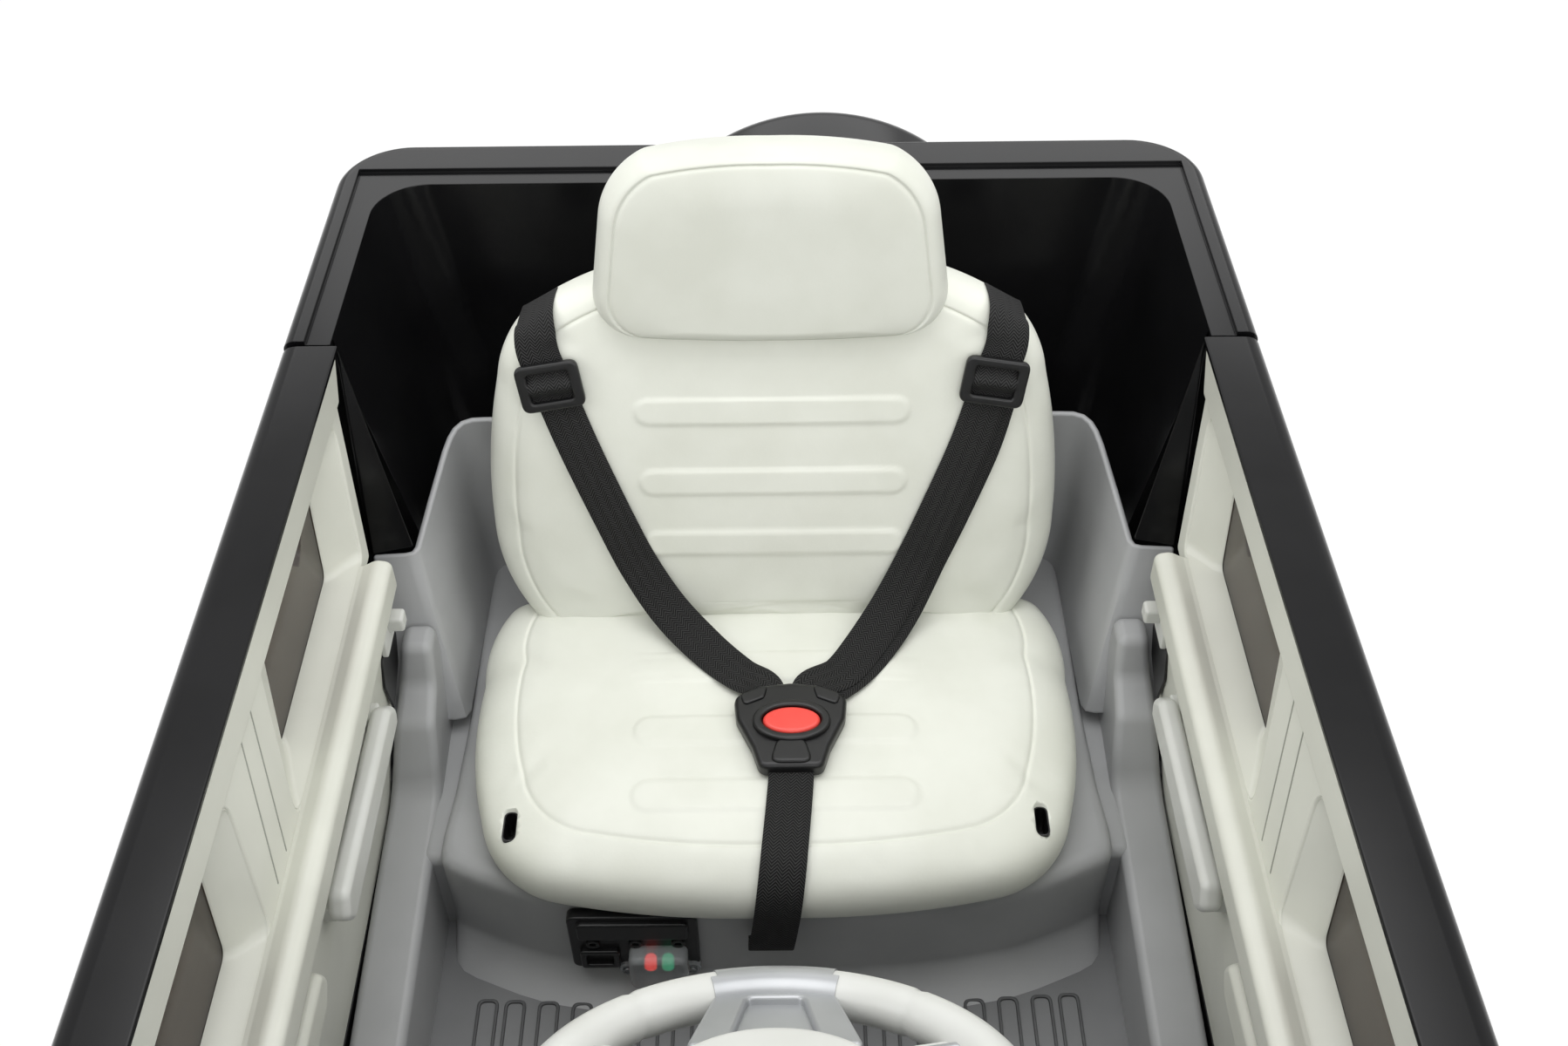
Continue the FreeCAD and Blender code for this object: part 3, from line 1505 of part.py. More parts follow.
def make_doors():
    front = -v.door_front
    skin = new_body("door_skin_left")
    wide = v.body_half_width
    outline = door_outline(front, v.door_rear, v.door_bottom, v.rail_top, zero)
    add(skin, "YZ", skin_inner, wide, outline, *windows(zero))
    rail = box_loop(v.door_rail_inner, skin_inner, v.rail_top - v.door_rail_depth, v.rail_top)
    add(skin, "XZ", front, v.door_rear, rail)
    round_edges(skin, v.rail_round, is_door_crest)
    for loop in windows(v.pane_lap):
        cut(skin, "YZ", skin_inner, skin_inner + v.pane_thick + v.fit_gap, loop)
    for level in hinge_levels:
        base = level + v.hinge_barrel + v.fit_gap
        add_hinge_half(skin, base, v.hinge_leaf_length)
        peg = (hinge_point(), v.hinge_peg_radius)
        add(skin, "XY", base - v.hinge_peg_length, base, peg)
    keep("door_skin_left", skin)
    keep("door_skin_right", mirrored("door_skin_right", skin))
    make_door_panel()
    make_door_windows()
    make_door_pull()
    make_door_latch()
    make_mirror()


def is_door_crest(a, b):
    top = near(a.z, v.rail_top) and near(b.z, v.rail_top)
    return top and along(a, b, 1) and near(a.x, v.body_half_width)


def make_door_panel():
    """The cream inner panel: a plate with window reveals, a top strip and a rounded roll."""
    body = new_body("door_panel_left")
    margin = v.panel_margin
    front = -v.door_front + margin
    rear = v.door_rear - margin
    top = v.rail_top - v.door_rail_depth
    outline = door_outline(front, rear, v.door_bottom + margin, top, margin)
    add(body, "YZ", v.panel_inner, skin_inner, outline, *windows(-margin))
    strip = [
        (v.trim_strip_inner, v.rail_top - v.trim_strip_height),
        (v.panel_inner, v.rail_top - v.trim_strip_height - margin),
        (v.panel_inner, top),
        (v.door_rail_inner, top),
        (v.door_rail_inner, v.rail_top - margin / 2),
        (v.trim_strip_inner + margin / 2, v.rail_top - margin),
    ]
    add(body, "XZ", front, rear, strip)
    roll = box_loop(v.roll_inner, v.panel_inner, v.roll_top - v.roll_height, v.roll_top)
    add(body, "XZ", front, rear, roll)
    inner = v.roll_inner
    round_edges(body, v.roll_round, lambda a, b: along(a, b, 1) and near(a.x, inner))
    keep("door_panel_left", body)
    keep("door_panel_right", mirrored("door_panel_right", body))


def make_door_windows():
    """Two smoked panes in the rebates of the skin."""
    panes = []
    for number, loop in enumerate(windows(v.pane_lap - v.fit_gap), 1):
        pane = new_body(f"door_pane_{number}")
        add(pane, "YZ", skin_inner + v.fit_gap, skin_inner + v.pane_thick, loop)
        panes.append(pane)
    group = doc.addObject("Part::Compound", "door_windows_left")
    group.Links = panes
    keep("door_windows_left", group)
    keep("door_windows_right", mirrored("door_windows_right", group))


def make_door_pull():
    """A bar handle on two feet, with room for fingers behind it."""
    body = new_body("door_pull_left")
    top = v.pull_bottom + v.pull_height
    inner = v.pull_inner
    outer = inner + v.pull_thick
    add(body, "YZ", inner, outer, box_loop(v.pull_front, v.pull_rear, v.pull_bottom, top))
    round_edges(body, v.pull_round, lambda a, b: near(a.x, inner) and near(b.x, inner))
    for start in (v.pull_front, v.pull_rear - v.pull_foot):
        foot = box_loop(start, start + v.pull_foot, v.pull_bottom, top)
        add(body, "YZ", outer, v.panel_inner, foot)
    keep("door_pull_left", body)
    keep("door_pull_right", mirrored("door_pull_right", body))


def make_door_latch():
    """A sliding latch with a thumb tab, on the panel beside the seat."""
    body = new_body("door_latch_left")
    outer = v.panel_inner - v.fit_gap
    inner = outer - v.latch_thick
    top = v.latch_bottom + v.latch_height
    rear = v.latch_front + v.latch_length
    add(body, "YZ", inner, outer, box_loop(v.latch_front, rear, v.latch_bottom, top))
    tab_front = rear - v.latch_tab_reach
    tab = box_loop(tab_front, rear, top - v.latch_tab, top)
    add(body, "YZ", inner - v.latch_tab, inner, tab)
    keep("door_latch_left", body)
    keep("door_latch_right", mirrored("door_latch_right", body))


def make_mirror():
    """A mirror housing on a short foot near the front of the door."""
    body = new_body("mirror_left")
    face = v.body_half_width
    front = -v.mirror_rear - v.mirror_depth
    head = box_loop(face + v.mirror_foot, face + v.mirror_foot + v.mirror_width, front, -v.mirror_rear)
    add(body, "XY", v.mirror_bottom, v.mirror_bottom + v.mirror_height, head)
    rear = -v.mirror_rear
    round_edges(body, v.mirror_round, lambda a, b: not (near(a.y, rear) and near(b.y, rear)))
    inset = v.mirror_round
    foot = box_loop(face, face + v.mirror_foot + inset, front + inset, -v.mirror_rear - inset)
    low = v.mirror_bottom + v.mirror_round
    add(body, "XY", low, low + v.mirror_foot_height, foot)
    keep("mirror_left", body)
    keep("mirror_right", mirrored("mirror_right", body))


# Seat: crowned pads lofted through outlines of arcs and lines

SEAT_SIDE_SHARES = [(0.88, 1.0), (1.0, 0.5), (0.93, 0.13)]
SEAT_CORNER_SHARES = [(0.93, 0.13), (0.86, 0.045), (0.70, 0.018)]
BACK_SIDE_SHARES = [(0.80, 0.0), (1.0, 0.36), (0.93, 0.72)]
BACK_SHOULDER_SHARES = [(0.93, 0.72), (0.83, 0.90), (0.55, 1.0)]
HEAD_LOWER_SHARES = [(0.80, 0.0), (0.945, 0.045), (0.99, 0.19)]
HEAD_UPPER_SHARES = [(0.94, 0.72), (0.851, 0.902), (0.66, 0.99)]
PAD_LEVEL_SHARES = [(0.0, 0.25), (0.22, 0.03), (0.55, 0.0), (0.82, 0.30), (1.0, 1.0)]
CROWN_INSET_SHARE = 2.4


def arc_loop(arcs, half_width, length, inset, level):
    """A closed symmetric outline: arcs along the +X side, mirrored, joined by lines."""
    wide = float(half_width) - inset
    tall = float(length) - 2 * inset
    edges = []
    right = [[Vector(sx * wide, inset + sy * tall, level) for sx, sy in arc] for arc in arcs]
    left = [[Vector(-p.x, p.y, p.z) for p in reversed(arc)] for arc in reversed(right)]
    runs = right + left
    for number, run in enumerate(runs):
        edges.append(Part.Arc(*run).toShape())
        following = runs[(number + 1) % len(runs)][0]
        if run[-1].distanceToPoint(following) > float(v.fit_gap):
            edges.append(Part.LineSegment(run[-1], following).toShape())
    return Part.Wire(edges)


def pad_solid(arcs, half_width, length, thick, roll, crown):
    """A pad lying on the XY plane: drawn in at its foot, rolled over at the top, crowned."""
    wires = []
    for level_share, inset_share in PAD_LEVEL_SHARES:
        inset = inset_share * float(roll)
        wires.append(arc_loop(arcs, half_width, length, inset, level_share * float(thick)))
    inset = CROWN_INSET_SHARE * float(roll)
    wires.append(arc_loop(arcs, half_width, length, inset, float(thick) + float(crown)))
    return Part.makeLoft(wires, True, False)


def block(x_low, x_high, y_low, y_high, z_low, z_high):
    """A plain box between two corners."""
    corner = Vector(float(x_low), float(y_low), float(z_low))
    return Part.makeBox(x_high - x_low, y_high - y_low, z_high - z_low, corner)


def back_placement():
    """Frame of the leaning backrest: X across, Y up the back, Z out of its front."""
    turn_up = Rotation(Vector(1, 0, 0), 90 - float(v.back_lean))
    foot = Vector(0, v.back_foot, v.back_foot_height)
    return Placement(foot - turn_up.multVec(Vector(0, 0, v.back_thick)), turn_up)


def screw_points():
    return [(side * float(v.seat_screw_reach), float(v.seat_screw_front)) for side in (1, -1)]


def make_seat_cushion():
    arcs = (SEAT_SIDE_SHARES, SEAT_CORNER_SHARES)
    shape = pad_solid(arcs, v.seat_half_width, v.seat_depth, v.seat_thick, v.seat_roll, v.seat_crown)
    shape.translate(Vector(0, v.seat_front, v.pedestal_top))
    for x, y in screw_points():
        floor = Vector(x, y, v.pedestal_top + v.seat_screw_floor)
        well = Part.makeCylinder(v.seat_screw_well_radius, v.seat_thick, floor)
        under = Vector(x, y, v.pedestal_top - v.overrun)
        shank = Part.makeCylinder(v.seat_screw_radius + v.run_gap, v.seat_thick, under)
        shape = shape.cut(well).cut(shank)
    solid_feature("seat_cushion", shape)


def make_seat_screws():
    screws = []
    for x, y in screw_points():
        floor = v.pedestal_top + v.seat_screw_floor
        head = Part.makeCylinder(v.seat_screw_head_radius, v.seat_screw_head_height, Vector(x, y, floor))
        length = v.seat_screw_floor + v.wall
        foot = Vector(x, y, v.pedestal_top - v.wall)
        screws.append(head.fuse(Part.makeCylinder(v.seat_screw_radius, length, foot)).removeSplitter())
    solid_feature("seat_screws", Part.makeCompound(screws))


def headrest_solid(grow):
    """The headrest in the backrest's frame, grown all round by a gap."""
    arcs = (HEAD_LOWER_SHARES, HEAD_UPPER_SHARES)
    shape = pad_solid(
        arcs,
        v.headrest_half_width + grow,
        v.headrest_height + grow * 2,
        v.headrest_thick + grow * 2,
        v.headrest_roll,
        v.back_crown,
    )
    shape.translate(Vector(0, v.headrest_base - grow, -grow))
    return shape


def make_seat_back():
    arcs = (BACK_SIDE_SHARES, BACK_SHOULDER_SHARES)
    shape = pad_solid(arcs, v.back_half_width, v.back_height, v.back_thick, v.back_roll, v.back_crown)
    crest = v.back_thick + v.back_crown + v.channel_rise
    for i in range(int(v.channel_count)):
        low = v.channel_base + i * v.channel_pitch
        half = v.channel_half_length
        bar = block(-half, half, low, low + v.channel_height, v.back_thick - v.back_crown, crest)
        shape = shape.fuse(bar.makeFillet(v.channel_height / 3, upright_edges(bar)))
    shape = shape.cut(headrest_solid(v.fit_gap))
    shape.Placement = back_placement()
    rear = v.seat_front + v.seat_depth + v.wall / 2
    wide = v.back_tongue_half_width
    tongue_top = v.back_foot_height + v.back_roll
    tongue = block(-wide, wide, rear, rear + v.back_tongue_thick, v.pedestal_top, tongue_top)
    solid_feature("seat_back", shape.fuse(tongue).removeSplitter())


def upright_edges(shape):
    return [e for e in shape.Edges if along(e.Vertexes[0].Point, e.Vertexes[-1].Point, 2)]


def make_headrest():
    shape = headrest_solid(zero)
    solid_feature("headrest", shape, back_placement())


# Harness: webbing as thin ribbons that lie just clear of the pads

def ribbon(stations, width, thick):
    """A strap through (point, outward normal) stations, as a solid of even thickness."""
    wires = []
    for i, (point, normal) in enumerate(stations):
        before = stations[max(i - 1, 0)][0]
        after = stations[min(i + 1, len(stations) - 1)][0]
        run = (after - before).normalize()
        across = normal.cross(run).normalize() * (width / 2)
        rise = run.cross(across).normalize() * -float(thick)
        if rise.dot(normal) < 0:
            rise = -rise
        corners = [point - across, point + across, point + across + rise, point - across + rise]
        wires.append(Part.makePolygon(corners + corners[:1]))
    return Part.makeSolid(Part.makeLoft(wires, True, True).Shells[0])


SHOULDER_WRAP_SHARES = [
    # across the shoulder, up the back, out from its rear face; then the outward normal
    ((1.00, 0.70, 0.00), (0.0, -1.0)),
    ((1.00, 0.925, -0.05), (0.3, -1.0)),
    ((1.00, 0.97, 0.26), (1.0, -0.5)),
    ((1.00, 0.975, 0.62), (1.0, 0.3)),
    ((0.995, 0.945, 0.98), (0.7, 1.0)),
    ((0.985, 0.87, 1.0), (0.1, 1.0)),
    ((0.95, 0.69, 1.0), (0.0, 1.0)),
    ((0.80, 0.39, 1.0), (0.0, 1.0)),
]
BRIDGE_SHARE = 0.56
LANDING_SHARE = 2.2


def strap_stations(side):
    """Path of one shoulder strap: over the shoulder, down the back, across to the buckle."""
    frame = back_placement()
    lift = float(v.strap_clearance)
    front = float(v.back_thick + v.back_crown)
    stations = []
    for (across, up, out), (tip_up, tip_out) in SHOULDER_WRAP_SHARES:
        normal = Vector(0, tip_up, tip_out).normalize()
        spot = Vector(side * across * v.shoulder_reach, up * v.back_height, out * front)
        world = frame.multVec(spot + normal * lift)
        stations.append((world, frame.Rotation.multVec(normal)))
    top = seat_top + v.seat_crown + v.strap_clearance
    rear = v.buckle_middle + v.buckle_length / 2
    middle = float(v.buckle_offset)
    gap = float(v.buckle_half_width) / 2
    bridge_x = middle / 2 + side * v.shoulder_reach * BRIDGE_SHARE
    bridge = Vector(bridge_x, v.back_foot - v.strap_bridge, top + v.strap_bridge)
    landing = Vector(middle + side * gap * LANDING_SHARE, rear + v.buckle_half_width / 2, top + v.strap_thick)
    entry = Vector(middle + side * gap, rear + v.buckle_thick / 2, top + v.buckle_thick / 3)
    end = Vector(middle + side * gap, rear + v.fit_gap, top + v.buckle_thick / 3)
    stations.append((bridge, Vector(0, -1, 1)))
    for point in (landing, entry, end):
        stations.append((point, Vector(0, 0, 1)))
    return stations


def make_straps():
    straps = [ribbon(strap_stations(side), v.strap_width, v.strap_thick) for side in (1, -1)]
    solid_feature("shoulder_straps", Part.makeCompound(straps))
    top = seat_top + v.seat_crown + v.strap_clearance
    x = v.buckle_offset
    front = v.buckle_middle - v.buckle_length / 2 - v.fit_gap
    edge = v.seat_front - v.strap_clearance
    hang = v.pedestal_top - v.strap_tail_drop
    up = Vector(0, 0, 1)
    out = Vector(0, -1, 0)
    stations = [
        (Vector(x, front, top + v.buckle_thick / 3), up),
        (Vector(x, front - v.strap_width / 2, top), up),
        (Vector(x, edge + v.seat_roll, top), Vector(0, -0.3, 1)),
        (Vector(x, edge + v.wall / 2, top - v.seat_thick / 4), Vector(0, -1, 1)),
        (Vector(x, edge - v.wall, top - v.seat_thick * 0.7), out),
        (Vector(x, edge - v.wall, hang), out),
        (Vector(x, edge, hang - v.wall * 2), Vector(0, -0.5, -1)),
        (Vector(x, v.pedestal_front - v.strap_thick - v.fit_gap, hang - v.wall), Vector(0, 0.5, -1)),
    ]
    solid_feature("crotch_strap", ribbon(stations, v.strap_width, v.strap_thick))


def make_adjusters():
    """A ladder-lock frame on each shoulder strap, turned to the strap's slant."""
    frame = back_placement()
    half_w = v.adjuster_width / 2
    half_l = v.adjuster_length / 2
    bar = v.adjuster_bar
    ring = block(-half_w, half_w, -half_l, half_l, zero, v.adjuster_thick)
    for low in (-half_l + bar, bar / 2):
        slot_top = low + half_l - bar * 1.5
        ring = ring.cut(block(-half_w + bar, half_w - bar, low, slot_top, -v.overrun, v.overrun))
    pieces = []
    for side in (1, -1):
        upper, lower = [SHOULDER_WRAP_SHARES[i][0] for i in (5, 7)]
        run_x = (upper[0] - lower[0]) * float(v.shoulder_reach)
        run_y = (upper[1] - lower[1]) * float(v.back_height)
        slant = math.degrees(math.atan2(run_x, run_y))
        share = SHOULDER_WRAP_SHARES[6][0]
        level = v.back_thick + v.back_crown + v.strap_clearance + v.strap_thick + v.fit_gap
        spot = Vector(side * share[0] * v.shoulder_reach, share[1] * v.back_height, level)
        piece = ring.copy()
        piece.Placement = frame.multiply(Placement(spot, Rotation(Vector(0, 0, 1), -side * slant)))
        pieces.append(piece)
    solid_feature("strap_adjusters", Part.makeCompound(pieces))


BUCKLE_SHARES = [(0.62, -1.0), (0.86, -0.55), (1.0, 0.0), (1.0, 0.55), (0.8, 1.0)]


def oval(middle, half_width, half_length, count):
    """A many-sided oval outline round a middle point."""
    points = []
    for i in range(count):
        angle = 2 * math.pi * i / count
        points.append((middle[0] + half_width * math.cos(angle), middle[1] + half_length * math.sin(angle)))
    return points


def make_buckle():
    body = new_body("buckle_body")
    middle = (v.buckle_offset, v.buckle_middle)
    right = [
        (middle[0] + sx * v.buckle_half_width, middle[1] + sy * v.buckle_length / 2)
        for sx, sy in BUCKLE_SHARES
    ]
    left = [
        (middle[0] - sx * v.buckle_half_width, middle[1] + sy * v.buckle_length / 2)
        for sx, sy in reversed(BUCKLE_SHARES)
    ]
    bottom = seat_top + v.seat_crown + v.fit_gap
    top = bottom + v.buckle_thick
    add(body, "XY", bottom, top, right + left)
    wide, long = v.buckle_button_half_width, v.buckle_button_half_length
    well = v.buckle_button_thick - v.buckle_button_proud + v.buckle_button_travel + v.fit_gap
    sides = 16
    cut(body, "XY", top - well, top, oval(middle, wide + v.fit_gap, long + v.fit_gap, sides))
    keep("buckle_body", body)
    button = new_body("buckle_button")
    high = top + v.buckle_button_proud
    add(button, "XY", high - v.buckle_button_thick, high, oval(middle, wide, long, sides))
    keep("buckle_button", button)


# Charging socket, battery and control box

def make_charge_panel():
    body = new_body("charge_panel")
    low = -v.charge_middle - v.charge_width / 2
    high = low + v.charge_width
    top = v.charge_bottom + v.charge_height
    face = v.pedestal_front - v.charge_plate_thick
    add(body, "XZ", face, v.pedestal_front, box_loop(low, high, v.charge_bottom, top))
    rim = v.charge_border + v.fit_gap
    box = box_loop(low + rim, high - rim, v.charge_bottom + rim, top - rim)
    back = v.pedestal_front + v.charge_box_depth
    add(body, "XZ", v.pedestal_front, back, box)
    keep("charge_panel", body)
    cover = new_body("charge_indicator_cover")
    left = -v.indicator_middle - v.indicator_width / 2
    right = left + v.indicator_width
    roof = v.indicator_bottom + v.indicator_height
    lens = box_loop(left, right, v.indicator_bottom, roof)
    add(cover, "XZ", face - v.indicator_depth, face, lens)
    ear_low = v.indicator_bottom + v.indicator_ear
    ear = box_loop(left - v.indicator_ear, right + v.indicator_ear, ear_low, roof - v.indicator_ear)
    add(cover, "XZ", face - v.indicator_ear_thick, face, ear)
    keep("charge_indicator_cover", cover)


def make_electrics():
    battery = new_body("battery")
    low = v.battery_reach - v.battery_length / 2
    high = low + v.battery_length
    rear = v.battery_front + v.battery_width
    top = v.floor_top + v.battery_height
    add(battery, "XY", v.floor_top, top, box_loop(low, high, v.battery_front, rear))
    for start in (low + v.terminal_inset, high - v.terminal_inset - v.terminal_width):
        tab_front = v.battery_front + v.terminal_inset
        tab = box_loop(start, start + v.terminal_width, tab_front, tab_front + v.terminal_width)
        add(battery, "XY", top, top + v.terminal_height, tab)
    keep("battery", battery)
    control = new_body("control_box")
    side = -v.control_reach
    case = box_loop(
        side - v.control_width / 2,
        side + v.control_width / 2,
        v.battery_front,
        v.battery_front + v.control_length,
    )
    add(control, "XY", v.floor_top, v.floor_top + v.control_height, case)
    keep("control_box", control)


def build_all():
    make_chassis_pan()
    make_floor_tub()
    make_seat_surround()
    make_rear_body_shell()
    make_spare_wheel_cover()
    make_rear_bumper()
    make_tail_lights()
    make_front_fenders()
    make_bonnet()
    make_grille()
    make_front_bumper()
    make_headlight_lenses()
    make_side_steps()
    make_dashboard()
    make_start_button()
    make_windscreen()
    make_steering_wheel()
    make_steering_column()
    make_tie_rod()
    make_knuckles()
    for name, side, axle in (
        ("front_left", 1, front_axle),
        ("front_right", -1, front_axle),
        ("rear_left", 1, rear_axle),
        ("rear_right", -1, rear_axle),
    ):
        make_wheel(name, side, axle)
    make_rear_axle()
    make_gear_motors()
    make_pedal()
    make_doors()
    make_seat_cushion()
    make_seat_screws()
    make_seat_back()
    make_headrest()
    make_straps()
    make_adjusters()
    make_buckle()
    make_charge_panel()
    make_electrics()


def check_and_write():
    doc.recompute()
    for thing in doc.Objects:
        if "Invalid" in thing.State or "Error" in thing.State:
            raise RuntimeError(f"{thing.Label} did not build: {thing.State}")
    os.makedirs("parts", exist_ok=True)
    for label, thing in sub_parts.items():
        shape = thing.Shape
        if shape.isNull() or not shape.isValid():
            raise RuntimeError(f"{label} has no valid shape")
        shape.exportStep(f"parts/{label}.step")
    print(len(sub_parts), "sub-parts written")


build_all()
check_and_write()
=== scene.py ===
# %% [markdown]
# # A child's electric ride-on car
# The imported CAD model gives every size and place. This lesson dresses it: soft seat, webbing,
# moulded plastic and smoked windows, seen from above the bonnet as in the photograph.

import math

import bmesh
import bpy
from mathutils import Matrix, Vector


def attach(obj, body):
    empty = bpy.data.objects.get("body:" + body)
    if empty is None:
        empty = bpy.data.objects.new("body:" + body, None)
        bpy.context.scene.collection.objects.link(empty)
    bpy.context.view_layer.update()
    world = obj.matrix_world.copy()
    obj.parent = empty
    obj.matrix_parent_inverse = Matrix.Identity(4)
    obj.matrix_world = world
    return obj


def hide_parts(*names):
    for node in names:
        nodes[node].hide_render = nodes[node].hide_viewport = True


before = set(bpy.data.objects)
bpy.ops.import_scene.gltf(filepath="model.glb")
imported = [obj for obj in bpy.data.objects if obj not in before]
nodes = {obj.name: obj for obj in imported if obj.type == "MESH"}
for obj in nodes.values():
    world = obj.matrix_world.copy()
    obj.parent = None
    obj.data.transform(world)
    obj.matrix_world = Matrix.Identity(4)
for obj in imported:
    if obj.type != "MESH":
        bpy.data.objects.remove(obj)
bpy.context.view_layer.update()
MM = 0.001

# %% [markdown]
# ## Camera
# The photograph looks down about 45 degrees from above the bonnet into the cabin. The place and
# the lens came from fitting known points of the car. The camera is made first, so that each piece
# can be compared with the photograph as soon as it exists.

# %% Camera
EYE_MM = (7, -480, 1097)
TIP, ROLL = math.radians(44.72), math.radians(-0.6)
SENSOR_MM, LENS_MM = 36, 36.8


def into_scene(item):
    """Links a new object to the scene."""
    bpy.context.scene.collection.objects.link(item)
    return item


camera_data = bpy.data.cameras.new("studio_camera")
camera_data.sensor_width, camera_data.lens = SENSOR_MM, LENS_MM
camera = into_scene(bpy.data.objects.new("studio_camera", camera_data))
camera.rotation_euler = (Matrix.Rotation(TIP, 3, "X") @ Matrix.Rotation(ROLL, 3, "Z")).to_euler()
camera.location = Vector(EYE_MM) * MM
bpy.context.scene.camera = camera
bpy.context.scene.view_settings.view_transform = "Standard"
print("camera at", tuple(round(c, 3) for c in camera.location))

# %% [markdown]
# ## Helpers for materials
# Colours are read off as sRGB hex. One function turns them linear, one adds a node with its
# settings and links, and a few make the usual patterns, so each material below stays a short
# recipe.

# %% Material helpers


def tint(code):
    """An sRGB hex colour as the linear colour that a socket takes."""
    values = [int(code[i:i + 2], 16) / 255 for i in (1, 3, 5)]
    return (*[c / 12.92 if c <= 0.04045 else ((c + 0.055) / 1.055) ** 2.4 for c in values], 1.0)


def add_node(material, kind, sockets=(), **settings):
    """Adds a node, sets its settings, and fills or links its sockets."""
    node = material.node_tree.nodes.new(kind)
    for name, value in settings.items():
        setattr(node, name, value)
    for name, value in dict(sockets).items():
        if isinstance(value, bpy.types.NodeSocket):
            material.node_tree.links.new(value, node.inputs[name])
        else:
            node.inputs[name].default_value = value
    return node


def new_material(name, **sockets):
    """An empty node material with one principled shader; underscores in names stand for spaces."""
    material = bpy.data.materials.new(name)
    material.use_nodes = True
    shader = material.node_tree.nodes["Principled BSDF"]
    for socket, value in sockets.items():
        shader.inputs[socket.replace("_", " ")].default_value = value
    return material, shader


def feed(material, shader, **sources):
    """Links patterns to a shader's sockets; underscores in names stand for spaces."""
    for socket, source in sources.items():
        material.node_tree.links.new(source, shader.inputs[socket.replace("_", " ")])


def noise(material, scale, detail=2.0):
    """A cloudy pattern in the piece's own coordinates."""
    place = add_node(material, "ShaderNodeTexCoord").outputs["Object"]
    return add_node(material, "ShaderNodeTexNoise",
                    {"Vector": place, "Scale": scale, "Detail": detail}).outputs[0]


def bump(material, height, strength, depth_mm, **below):
    """A relief in the surface, alone or over another one that is given as its Normal."""
    return add_node(material, "ShaderNodeBump",
                    {"Height": height, "Strength": strength, "Distance": depth_mm * MM,
                     **below}).outputs[0]


def shades(material, height, low, high, start=0.35, end=0.65):
    """A colour ramp between two hex shades, driven by a pattern."""
    ramp = add_node(material, "ShaderNodeValToRGB", {0: height})
    for element, position, code in zip(ramp.color_ramp.elements, (start, end), (low, high)):
        element.position = position
        element.color = tint(code)
    return ramp.outputs[0]


def moulded(name, low, high, rough, grain_mm, depth_mm, **sockets):
    """Moulded plastic: a fine grain in the surface, and a faint cloudiness in colour and shine."""
    material, shader = new_material(name, **sockets)
    grain = noise(material, 1 / (grain_mm * MM))
    cloud = noise(material, 14.0, 3.0)
    shine = add_node(material, "ShaderNodeMapRange", {0: cloud, 3: rough * 0.85, 4: rough * 1.15})
    feed(material, shader, Base_Color=shades(material, cloud, low, high),
         Roughness=shine.outputs[0], Normal=bump(material, grain, 0.5, depth_mm))
    return material


# %% [markdown]
# ## Moulded plastics
# The body is polypropylene and ABS. The black outside is polished, so it mirrors the studio. The
# grey tub is satin with a spark-eroded grain of about half a millimetre, drawn at 1.4 mm because
# finer grain doesn't show in the picture. The cream door panels are smoother.

# %% Plastics
gloss_black = moulded("polished_black_abs", "#0f0f10", "#141415", 0.19, 30, 0.02,
                      Specular_IOR_Level=0.28)
satin_black = moulded("grained_black_polypropylene", "#161617", "#202021", 0.48, 1.6, 0.12)
trim_black = moulded("black_nylon", "#111112", "#19191a", 0.36, 2.2, 0.05)
tub_grey = moulded("satin_grey_polypropylene", "#a0a1a2", "#a9aaab", 0.4, 1.4, 0.06)
# Painted shade: the floor's grey is darker than the tub's and stands for the shade in the footwell.
floor_painted_shade_grey = moulded("floor_grey_polypropylene", "#737475", "#7d7e7f", 0.46, 1.4, 0.08)
# Painted shade: the mat ribs are darker still, so that they read as dark grooves.
rib_grey_painted_shade = moulded("dark_grey_polypropylene", "#4c4d4e", "#565758", 0.5, 2.0, 0.05)
cream = moulded("satin_cream_abs", "#cdcec4", "#d4d5cb", 0.34, 1.8, 0.03)
white_cream = moulded("smooth_cream_abs", "#cfd0cb", "#d6d7d3", 0.32, 2.4, 0.02)
silver = moulded("silver_painted_abs", "#a8aaac", "#b6b8ba", 0.34, 1.2, 0.02, Metallic=0.55)
red_gloss = moulded("red_button_abs", "#ec4840", "#f4564c", 0.28, 3, 0.02)
tyre_black = moulded("black_wheel_polymer", "#141414", "#1d1d1d", 0.62, 1.5, 0.15)
rim_silver = moulded("silver_wheel_paint", "#9fa1a3", "#b0b2b4", 0.3, 1.4, 0.02, Metallic=0.6)
# Painted shade: a darker cream for the fine lines on the door posts.
seam_shade = moulded("shaded_cream_groove", "#8f9188", "#9c9e95", 0.6, 2, 0.02)
print("plastics ready")

# %% [markdown]
# ## Leatherette
# The seat is foam under a coated fabric. The coating carries a fine leather grain over a soft
# unevenness of the foam beneath. The grain is a Voronoi pattern of small cells. Real ones are about
# 1.5 mm across; they are drawn at 2 mm, which is the finest that the picture shows.

# %% Leatherette
CELL_MM = 2.0


def leather(name, low, high):
    """Embossed cover with a grain of small cells over uneven foam."""
    material, shader = new_material(name, Roughness=0.46, Sheen_Weight=0.08, Sheen_Roughness=0.5)
    place = add_node(material, "ShaderNodeTexCoord").outputs["Object"]
    cells = add_node(material, "ShaderNodeTexVoronoi",
                     {"Vector": place, "Scale": 1 / (CELL_MM * MM)}).outputs[0]
    foam = noise(material, 18.0, 4.0)
    grain = bump(material, cells, 0.25, 0.08)
    feed(material, shader, Base_Color=shades(material, foam, low, high),
         Normal=bump(material, foam, 0.3, 0.5, Normal=grain))
    return material


leatherette = leather("cream_leatherette", "#e0e2d7", "#e7e9df")
# The headrest's cover is the same leatherette made darker: painted shade on the head pad.
head_leatherette_painted_shade = leather("cream_leatherette_headrest", "#cfd1c6", "#d6d8ce")
print("leatherette ready")

